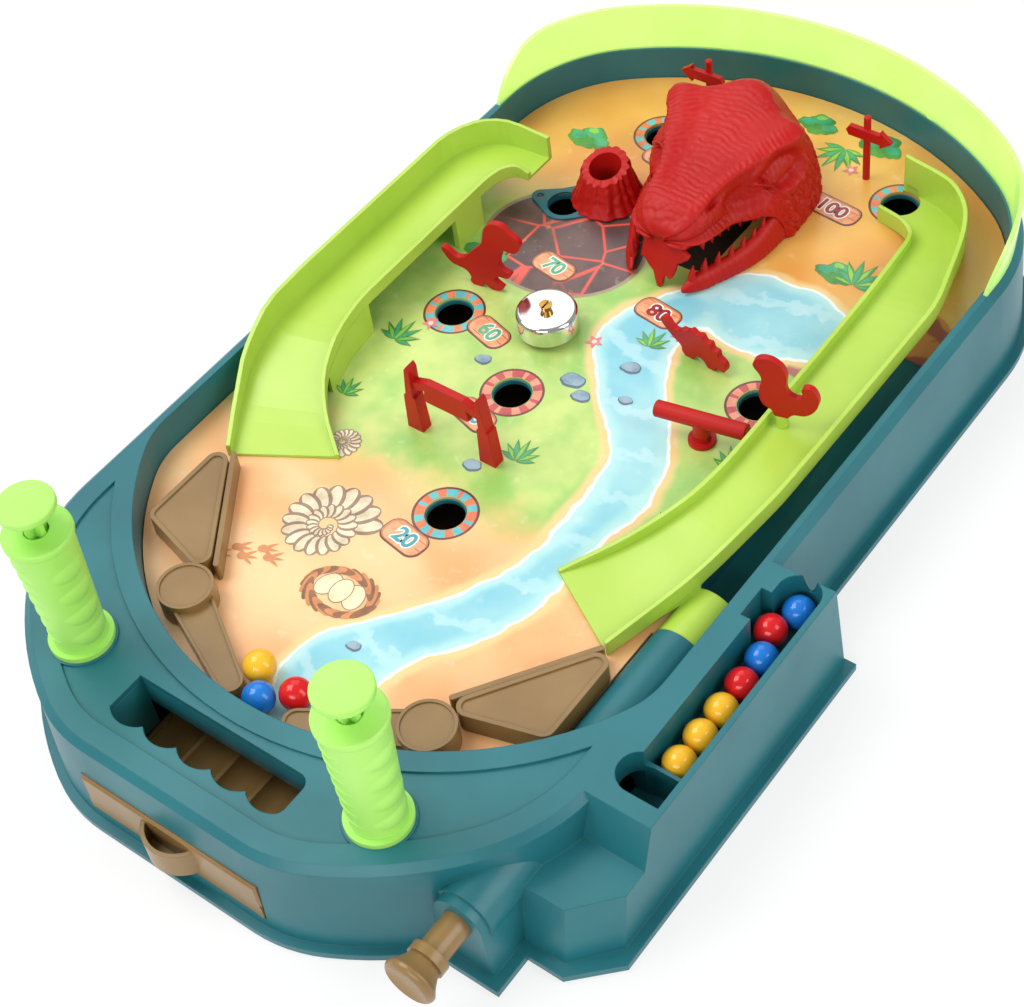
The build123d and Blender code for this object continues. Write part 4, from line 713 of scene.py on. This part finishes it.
def headRelief(share, angle, place):
    # height of the carved detail above the smooth skull, in millimetres
    tilt = min(angle, 180 - angle)
    along = share * carving["long"]
    x, y = place.x - headMiddle(share), place.y
    waver = noise.noise(place * 0.10) * 1.5 + noise.noise(place * 0.33) * 0.6
    wrinkle = math.sin(math.tau * (y + 0.016 * x * x + 1.5 * waver) / carving["wrinklePitch"])
    blotch = noise.noise(place * 0.16 + Vector((7, 3, 5)))
    patchy = 0.45 + 0.55 * min(max(0.5 + blotch * 1.6, 0), 1)
    relief = carving["wrinkle"] * (0.5 + 0.5 * wrinkle) ** 0.7 * patchy
    relief *= gate(share, 0.03, 0.90, 0.10) * gate(tilt, 44, 200, 16)
    # heavy brow that runs from the nose to the temple, steep on its lower side
    over = tilt - bend(head["brow"], share)
    relief += bend(carving["brow"], share) * hump(over, carving["browUnder" if over < 0 else "browOver"])
    # eye under the brow in its lid, a nick behind it
    alongEye = along - carving["eyeAt"]
    upEye = (over + carving["eyeBelow"] - 0.15 * alongEye) * 0.7
    socket = (alongEye / carving["eyeLong"]) ** 2 + (upEye / carving["eyeTall"]) ** 2
    relief -= carving["socket"] * math.exp(-socket ** 2.6)
    relief += carving["lid"] * hump(math.sqrt(socket) - 1.3, 0.2)
    relief += carving["eyeball"] * max(1 - (alongEye / 9.4) ** 2 - ((upEye - 0.2) / 4.2) ** 2, 0) ** 0.4
    upNick = (over + carving["nickBelow"]) * 0.6
    relief -= carving["nick"] * hump(along - carving["nickAt"], 3.0) * hump(upNick, 2.2)
    # hollow before the eye, nostril
    alongPit, upPit = along - carving["pitAt"], (over + carving["pitBelow"]) * 0.34
    pit = (alongPit / carving["pitLong"]) ** 2 + (upPit / carving["pitTall"]) ** 2
    relief -= carving["pit"] * math.exp(-pit ** 2.4)
    alongSlit, upSlit = along - carving["nostrilAt"], (over + carving["nostrilBelow"]) * 0.40
    relief -= (carving["nostril"] * hump(alongSlit, carving["nostrilLong"])
               * hump(upSlit, carving["nostrilTall"]))
    # lip roll and the folds above it
    relief += bend(carving["lip"], share) * max(hump(tilt, 7.0), hump(along, 2.4))
    relief -= carving["lipGroove"] * hump(tilt - 15, 5.0) * gate(share, -0.1, 0.52, 0.08)
    fold = math.sin(math.tau * (y + 2.0 * waver + 0.05 * (place.z - boardTop)) / carving["foldPitch"])
    relief += carving["fold"] * fold * patchy * gate(tilt, 4, 30, 8) * gate(share, 0.08, 0.50, 0.08)
    # cheek scales, then the broad swellings and dips
    near, far = noise.voronoi(Vector((place.x * 0.26, place.y * 0.24, place.z * 0.27)))[0][:2]
    scales = min((far - near) / 0.26, 1) * gate(share, 0.54, 0.98, 0.06) * gate(tilt, -1, 44, 12)
    relief += carving["scale"] * scales * (1 - math.exp(-socket * 0.4))
    for high, at, long, level, tall in carving["swells"].values():
        relief += high * hump(along - at, long) * hump(tilt - level, tall)
    # a little ring on the crown
    ringOut = math.hypot(x - carving["ringX"], y - carving["ringY"])
    relief += carving["ring"] * gate(ringOut, carving["ringInner"], carving["ringOuter"], 0.7)
    fade = min(max((1.06 - share) / 0.07, 0), 1)
    return (relief + carving["skin"] * noise.noise(place * 0.5)) * fade


skull = bmesh.new()
made = gridVerts(skull, head["columns"], head["rows"])
chart = {}
for vert in made:
    share, angle = (vert.co.y + 1) / 2 * (1 + head["close"]), (1 - vert.co.x) * 90
    chart[vert] = (share, angle)
    vert.co = headPoint(share, angle) * mm
inner = [vert for vert in made if not vert.is_boundary]
bmesh.ops.smooth_vert(skull, verts=inner, factor=0.5, use_axis_x=True, use_axis_y=True, use_axis_z=True)
bmesh.ops.recalc_face_normals(skull, faces=skull.faces)
skull.normal_update()
if sum(face.normal.z for face in skull.faces) < 0:
    bmesh.ops.reverse_faces(skull, faces=skull.faces)
skull.normal_update()
pushes = {vert: vert.normal * headRelief(*chart[vert], vert.co / mm) * mm for vert in made}
for vert, push in pushes.items():
    vert.co += push
    vert.co.z = max(vert.co.z, boardTop * mm)
backRow = [vert for vert in made if chart[vert][0] > 1.075]
bmesh.ops.remove_doubles(skull, verts=backRow, dist=0.0002)
headShell = finishPiece("head_skull", skull, "red_plastic", sharp=70.0)
thick = headShell.modifiers.new("wall", "SOLIDIFY")
thick.thickness = head["wall"] * mm
thick.offset = -1.0
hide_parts("dinosaur_head")

# lower jaw: two prongs; out is the half width along the head, high the height along a prong
jaw = {
    "tip": -0.067, "span": 0.64, "columns": 24, "rows": 70,
    "out": [(-0.067, 16.8), (-0.005, 21.0), (0.095, 25.5), (0.218, 31.0), (0.36, 35.2), (0.51, 37.0)],
    "high": [(0, 3.4), (0.1, 7.2), (0.3, 8.4), (0.6, 11.0), (0.85, 15.0), (1, 19.0)]}
lowerTeeth = {"count": 7, "first": 0.10, "step": 0.112, "tall": 7.6, "lose": 0.4, "wide": 1.8, "slim": 0.08}
upperTeeth = {"count": 6, "first": 0.09, "step": 0.066, "tall": 9.0, "lose": 0.5, "wide": 2.0, "slim": 0.1}


def jawPoint(side, along, turn):
    # point on one prong of the lower jaw, along runs from its tip to the cheek
    share = jaw["tip"] + jaw["span"] * along
    slim = min(along / 0.16, 1) ** 0.6
    low = 0.3 + 1.5 * (1 - slim)
    high = bend(jaw["high"], along)
    across = math.copysign(abs(math.cos(turn)) ** 0.7, math.cos(turn)) * (0.35 + 2.6 * slim)
    rise = math.copysign(abs(math.sin(turn)) ** 0.75, math.sin(turn))
    y = head["front"] + head["length"] * share
    fold = 0.22 * math.sin(math.tau * y / 2.9) * slim * max(math.cos(turn), 0)
    x = bend(jaw["out"], share) - 2.6 + across + fold - (0.4 + 2.6 * slim) * (rise + 1) / 2
    z = boardTop + (low + high) / 2 + (high - low) / 2 * rise
    return Vector((headMiddle(share) + side * x, y, z))


def tooth(bm, place, tall, wide, upward, lean):
    # slim cone that bends back toward the throat
    spike = bmesh.new()
    bmesh.ops.create_cone(spike, cap_ends=True, segments=10, radius1=wide * mm, radius2=wide * 0.12 * mm,
                          depth=tall * mm)
    sides = [edge for edge in spike.edges if abs(edge.verts[0].co.z - edge.verts[1].co.z) > 0.5 * tall * mm]
    bmesh.ops.subdivide_edges(spike, edges=sides, cuts=4, use_grid_fill=True)
    for vert in spike.verts:
        part = vert.co.z / (tall * mm) + 0.5
        full = 1 + 0.35 * math.sin(math.pi * part)
        bentX = vert.co.x * full + lean * part * mm
        bentY = vert.co.y * full + 1.1 * part ** 2 * mm
        vert.co = Vector((bentX, bentY, part * tall * upward * mm))
    bmesh.ops.translate(spike, vec=place * mm, verts=spike.verts)
    mesh = bpy.data.meshes.new("tooth")
    spike.to_mesh(mesh)
    spike.free()
    bm.from_mesh(mesh)
    bpy.data.meshes.remove(mesh)


def toothSize(row, number):
    return row["tall"] - row["lose"] * number, row["wide"] - row["slim"] * number


jaws = bmesh.new()
for side in (-1, 1):
    prong = gridVerts(jaws, jaw["columns"], jaw["rows"])
    for vert in prong:
        vert.co = jawPoint(side, (vert.co.y + 1) / 2, (vert.co.x + 1) * math.pi) * mm
    bmesh.ops.remove_doubles(jaws, verts=prong, dist=1e-6)
    bmesh.ops.holes_fill(jaws, edges=rimEdges(jaws), sides=60)
    for number in range(lowerTeeth["count"]):
        root = jawPoint(side, lowerTeeth["first"] + lowerTeeth["step"] * number, math.pi / 2)
        root -= Vector((side * 0.3, 0, 0.8))
        tooth(jaws, root, *toothSize(lowerTeeth, number), 1, side * 0.5)
    for number in range(upperTeeth["count"]):
        root = headPoint(upperTeeth["first"] + upperTeeth["step"] * number, 1.0 if side > 0 else 179.0)
        root += Vector((-side * 1.4, 0, 1.4))
        tooth(jaws, root, *toothSize(upperTeeth, number), -1, side * 0.2)
bmesh.ops.recalc_face_normals(jaws, faces=jaws.faces)
finishPiece("head_jaws", jaws, "red_plastic", sharp=55.0)
print("head carved")

# hatchling: a ragged flat figure that leans back under the nose; columns are x, low end, high end
hatchling = {
    "y": 95.0, "lean": 0.28, "thick": 2.4, "middle": -4.5, "rows": 6, "rim": 0.35,
    "columns": ((-14.4, 11.0, 13.4), (-13.2, 11.6, 24.0), (-11.6, 10.6, 27.6), (-9.6, 8.4, 28.0),
        (-7.2, 6.8, 28.0), (-5.8, 3.4, 28.0), (-4.4, 0.2, 28.0), (-2.2, 0.0, 28.0),
        (-1.6, 4.4, 28.0), (-0.4, 6.6, 28.0), (1.2, 5.6, 28.0), (2.8, 6.2, 27.8),
        (3.9, 9.8, 27.0), (4.6, 14.2, 22.4), (6.6, 15.2, 20.8), (10.2, 18.2, 19.2))}
figure = bmesh.new()
lastColumn = len(hatchling["columns"]) - 1
for vert in gridVerts(figure, lastColumn, hatchling["rows"]):
    columnX, lowEnd, highEnd = hatchling["columns"][round((vert.co.x + 1) / 2 * lastColumn)]
    share = (vert.co.y + 1) / 2
    level = lowEnd + (highEnd - lowEnd) * share
    swell = 0.9 * math.sin(math.pi * share) * hump(columnX - hatchling["middle"], 6.0)
    vert.co = Vector((columnX, hatchling["y"] + hatchling["lean"] * level - swell, boardTop + level)) * mm
grown = onlyVerts(bmesh.ops.extrude_face_region(figure, geom=figure.faces[:])["geom"])
bmesh.ops.translate(figure, vec=(0, hatchling["thick"] * mm, 0), verts=grown)
bmesh.ops.recalc_face_normals(figure, faces=figure.faces)
softenEdges(figure, [edge for edge in figure.edges if edge.calc_face_angle(0.0) > 0.8], hatchling["rim"], 2)
carvedFigure = finishPiece("hatchling_carving", figure, "red_plastic")
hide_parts("hatchling_figure")

# volcano: ragged cone with a sloping rim and a bore
cone = {"x": -57.6, "y": 133.0, "foot": 16.5, "mouth": 11.0, "bore": 7.6, "low": 1.0, "front": 16.0,
        "back": 22.0, "turns": 192, "rows": 26, "boreRows": 6}


def conePoint(turn, row):
    # rows climb the outside, cross the rim, then go down the bore
    across, along = math.cos(turn), math.sin(turn)
    ridge = 0.5 + 0.5 * math.sin(17 * turn + 1.4 * math.sin(3 * turn) + 0.8 * math.sin(5 * turn + 1))
    ragged = noise.noise(Vector((across * 3.2, along * 3.2, 4.0)))
    climb = min(row / cone["rows"], 1)
    slope = (cone["back"] - cone["front"]) / (2 * cone["mouth"])
    if row > cone["rows"]:
        radius = cone["bore"]
        rim = cone["front"] + slope * (radius * along + cone["mouth"])
        level = rim - (rim - cone["low"]) * (row - cone["rows"] - 1) / cone["boreRows"]
    else:
        radius = cone["foot"] + (cone["mouth"] - cone["foot"]) * climb ** 0.85 + 0.9 * (1 - climb) ** 4
        radius += (1.15 * ridge ** 0.7 + 0.8 * ragged - 0.6) * (0.75 + 0.25 * climb)
        radius += 0.5 * noise.noise(Vector((across * 5, along * 5, climb * 6.0)))
        rim = cone["front"] + slope * (radius * along + cone["mouth"]) + 0.7 * ragged - 0.5 * ridge
        level = cone["low"] + (rim - cone["low"]) * climb
    return Vector((cone["x"] + radius * across, cone["y"] + radius * along, boardTop + level))


volcano = bmesh.new()
lastRow = cone["rows"] + 1 + cone["boreRows"]
made = gridVerts(volcano, cone["turns"], lastRow)
for vert in made:
    vert.co = conePoint((vert.co.x + 1) * math.pi, round((vert.co.y + 1) / 2 * lastRow)) * mm
bmesh.ops.remove_doubles(volcano, verts=made, dist=1e-6)
bmesh.ops.bridge_loops(volcano, edges=rimEdges(volcano))
bmesh.ops.recalc_face_normals(volcano, faces=volcano.faces)
coneShell = finishPiece("volcano_cone", volcano, "red_plastic", sharp=50.0)
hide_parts("volcano")
print("figures carved")

# cheeks and back wall of the ball slot, hanging under the apron; sizes, then the middle
slotWalls = {
    "top": 47.1, "soft": 0.3,
    "walls": ((1.6, 21.0, 29.0, -44.5, -206.8), (1.6, 21.0, 29.0, 44.5, -206.8),
        (87.2, 1.6, 13.6, 0.0, -195.9))}
cheeks = bmesh.new()
for wide, deep, tall, wallX, wallY in slotWalls["walls"]:
    made = block(cheeks, wide, deep, tall)
    bmesh.ops.transform(cheeks, matrix=put(wallX, wallY, slotWalls["top"] - tall / 2), verts=made)
softenEdges(cheeks, cheeks.edges[:], slotWalls["soft"], 2)
finishPiece("slot_cheeks", cheeks, "teal_plastic")

# snap tabs along the foot of the back guard
tab = {"places": ((-131.6, 157.0, 88.0), (-58.4, 236.0, 17.0), (52.7, 237.0, -15.0)),
       "wide": 4.0, "deep": 2.0, "tall": 2.6, "low": 50.2, "soft": 0.7}
tabs = bmesh.new()
for tabX, tabY, turn in tab["places"]:
    made = block(tabs, tab["wide"], tab["deep"], tab["tall"])
    made = softenEdges(tabs, edgesOf(made), tab["soft"], 3)
    bmesh.ops.transform(tabs, matrix=put(tabX, tabY, tab["low"] + tab["tall"] / 2, turn), verts=made)
finishPiece("guard_tabs", tabs, "clear_lime")
print("small mouldings made")

# grip ridges raised on both handles, on the player's side
grip = {"x": 75.6, "y": -196.0, "bottom": 51.0, "low": 10.7, "high": 13.0, "height": 65.0, "count": 7,
        "first": 9.0, "pitch": 7.2, "round": 0.75, "sides": 8, "sink": 0.2, "fade": 0.5, "arc": 104,
        "steps": 18, "faces": 196, "bow": 2.2, "drop": 0.6}
for side, name in ((-1, "left"), (1, "right")):
    ridges = bmesh.new()
    for number in range(grip["count"]):
        level = grip["first"] + grip["pitch"] * number
        core = (grip["low"] + (grip["high"] - grip["low"]) * level / grip["height"] - grip["sink"]) * mm
        before = set(ridges.verts)
        made = bmesh.ops.create_circle(ridges, cap_ends=False, segments=grip["sides"],
                                       radius=grip["round"] * mm)["verts"]
        upright = Matrix.Translation((core, 0, 0)) @ Matrix.Rotation(math.radians(90), 4, "X")
        bmesh.ops.transform(ridges, matrix=upright, verts=made)
        bmesh.ops.spin(ridges, geom=made + edgesOf(made), cent=(0, 0, 0), axis=(0, 0, 1),
                       angle=math.radians(grip["arc"]), steps=grip["steps"], use_merge=False)
        swept = [vert for vert in ridges.verts if vert not in before]
        for vert in swept:
            share = math.degrees(math.atan2(vert.co.y, vert.co.x)) / grip["arc"]
            thin = 1 - 0.9 * abs(2 * share - 1) ** 2.5
            out = math.hypot(vert.co.x, vert.co.y)
            root = core - grip["fade"] * mm
            pull = (root + (out - root) * thin) / out
            lift = vert.co.z * (0.35 + 0.65 * thin) + grip["bow"] * mm * math.sin(math.pi * share)
            vert.co = Vector((vert.co.x * pull, vert.co.y * pull, lift))
        bmesh.ops.transform(ridges, matrix=put(0, 0, level - grip["drop"]), verts=swept)
    bmesh.ops.holes_fill(ridges, edges=rimEdges(ridges), sides=grip["sides"])
    stand = put(side * grip["x"], grip["y"], grip["bottom"], grip["faces"])
    bmesh.ops.transform(ridges, matrix=stand, verts=ridges.verts)
    bmesh.ops.recalc_face_normals(ridges, faces=ridges.faces)
    finishPiece(name + "_grip_ridges", ridges, "green_plastic")
print("grip ridges made")

# coil springs with closed end turns
coilWire = {"radius": 0.5 * mm, "sides": 8, "steps": 30}
# node, joint, axis of the coil, turns, travel in millimetres
coils = (("left_button_spring", "left_button_press", 2, 8, 11.0),
         ("right_button_spring", "right_button_press", 2, 8, 11.0),
         ("plunger_spring", "plunger_pull", 1, 10, 32.0))
for nodeName, jointName, axis, turns, travel in coils:
    low, high = (Vector(corner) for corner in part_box(nodeName))
    wireRadius = coilWire["radius"]
    length = high[axis] - low[axis]
    radius = (high.x - low.x) / 2 - wireRadius
    foot = (low + high) / 2
    foot[axis] = low[axis]
    coil = bmesh.new()
    made = gridVerts(coil, coilWire["sides"], turns * coilWire["steps"])
    for vert in made:
        around, turn = (vert.co.x + 1) * math.pi, (vert.co.y + 1) / 2 * turns
        closedTurns = min(turn, 1) + max(turn - turns + 1, 0)
        openShare = min(max((turn - 1) / (turns - 2), 0), 1)
        climb = 2 * wireRadius * closedTurns + (length - 6 * wireRadius) * openShare
        out = radius + wireRadius * math.cos(around)
        reach = [out * math.cos(turn * math.tau), out * math.sin(turn * math.tau)]
        reach.insert(axis, wireRadius + climb + wireRadius * math.sin(around))
        vert.co = foot + Vector(reach)
    bmesh.ops.remove_doubles(coil, verts=made, dist=1e-7)
    bmesh.ops.holes_fill(coil, edges=rimEdges(coil), sides=coilWire["sides"])
    bmesh.ops.recalc_face_normals(coil, faces=coil.faces)
    spring = finishPiece(nodeName + "_coil", coil, "spring_steel", sharp=60.0)
    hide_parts(nodeName)
    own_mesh(spring)
print("springs wound")

# camera where the photograph was taken from
view = {"azimuth": 43.98, "elevation": 48.82, "roll": -9.38, "place": (0.4066, -0.4455, 0.6751),
        "lens": 72.84, "sensor": 36.0}
az, el, roll = (math.radians(view[key]) for key in ("azimuth", "elevation", "roll"))
back = Vector((math.sin(az) * math.cos(el), -math.cos(az) * math.cos(el), math.sin(el)))
right = Vector((math.cos(az), math.sin(az), 0))
up = back.cross(right)
lens = bpy.data.cameras.new("camera")
lens.lens = view["lens"]
lens.sensor_width = view["sensor"]
lens.sensor_fit = "HORIZONTAL"
camera = addObject("camera", lens)
rolledRight = right * math.cos(roll) + up * math.sin(roll)
rolledUp = up * math.cos(roll) - right * math.sin(roll)
aim = Matrix((rolledRight, rolledUp, back)).transposed().to_4x4()
aim.translation = Vector(view["place"])
camera.matrix_world = aim
bpy.context.scene.camera = camera

# pale floor that whitens away from the object, and a plain white sky
floorLook = {"half": 6.0, "below": 0.4, "tone": (0.92, 0.92, 0.92, 1), "near": 0.72, "fade": (0.5, 1.6)}
pureWhite = (1, 1, 1, 1)
floorMesh = bmesh.new()
gridVerts(floorMesh, 1, 1)
bmesh.ops.scale(floorMesh, vec=(floorLook["half"], floorLook["half"], 1), verts=floorMesh.verts)
bmesh.ops.translate(floorMesh, vec=(0, 0, -floorLook["below"] * mm), verts=floorMesh.verts)
floorData = bpy.data.meshes.new("floor")
floorMesh.to_mesh(floorData)
floorMesh.free()
floor = addObject("floor", floorData)
floorFinish, wire, place = startFinish("floor_white")
paths = wire.make("ShaderNodeLightPath", {}, {}, "Is Camera Ray")
seen = (paths + paths.beside("Is Glossy Ray") + paths.beside("Is Transmission Ray")).atMost(1.0)
matte = wire.make("ShaderNodeBsdfDiffuse", {}, {"Color": floorLook["tone"]})
glow = wire.make("ShaderNodeEmission", {}, {"Color": pureWhite, "Strength": 1.0})
distance = wire.make("ShaderNodeVectorMath", {"operation": "LENGTH"}, {0: place}, "Value")
lit = floorLook["near"] + distance.ease(*floorLook["fade"]) * (1 - floorLook["near"])
both = wire.make("ShaderNodeMixShader", {}, {0: seen * lit, 1: matte, 2: glow})
wire.make("ShaderNodeOutputMaterial", {}, {"Surface": both})
floorData.materials.append(floorFinish)

skyLook = {"light": 0.5, "glossLoss": 0.12}
world = bpy.data.worlds.new("studio")
bpy.context.scene.world = world
world.use_nodes = True
world.node_tree.nodes.clear()
sky = Wire(world.node_tree)
skyPaths = sky.make("ShaderNodeLightPath", {}, {}, "Is Camera Ray")
skySeen = (skyPaths + skyPaths.beside("Is Transmission Ray")).atMost(1.0)
skyLevel = skySeen * (1 - skyLook["light"]) + skyLook["light"]
skyLevel = skyLevel - skyPaths.beside("Is Glossy Ray") * skyLook["glossLoss"]
skyGlow = sky.make("ShaderNodeBackground", {}, {"Color": pureWhite, "Strength": skyLevel})
sky.make("ShaderNodeOutputWorld", {}, {"Surface": skyGlow})


def softbox(name, place, target, size, power):
    lamp = bpy.data.lights.new(name, "AREA")
    lamp.shape = "RECTANGLE"
    lamp.size, lamp.size_y = size
    lamp.energy = power
    box = addObject(name, lamp)
    look = (Vector(target) - Vector(place)).to_track_quat("-Z", "Y").to_matrix().to_4x4()
    look.translation = Vector(place)
    box.matrix_world = look


softbox("key", (-0.75, -0.35, 1.35), (0, 0, 0.03), (0.9, 0.9), 13.4)
softbox("top", (-0.69, 0.72, 1.16), (0, 0, 0.03), (1.1, 1.1), 4.6)
softbox("side", (1.1, 0.25, 0.75), (0.1, 0, 0.03), (0.5, 1.1), 6.0)
softbox("front", (0.35, -1.2, 0.7), (0, -0.1, 0.03), (0.9, 0.4), 5.2)
bpy.context.scene.view_settings.view_transform = "Standard"
print("studio ready")
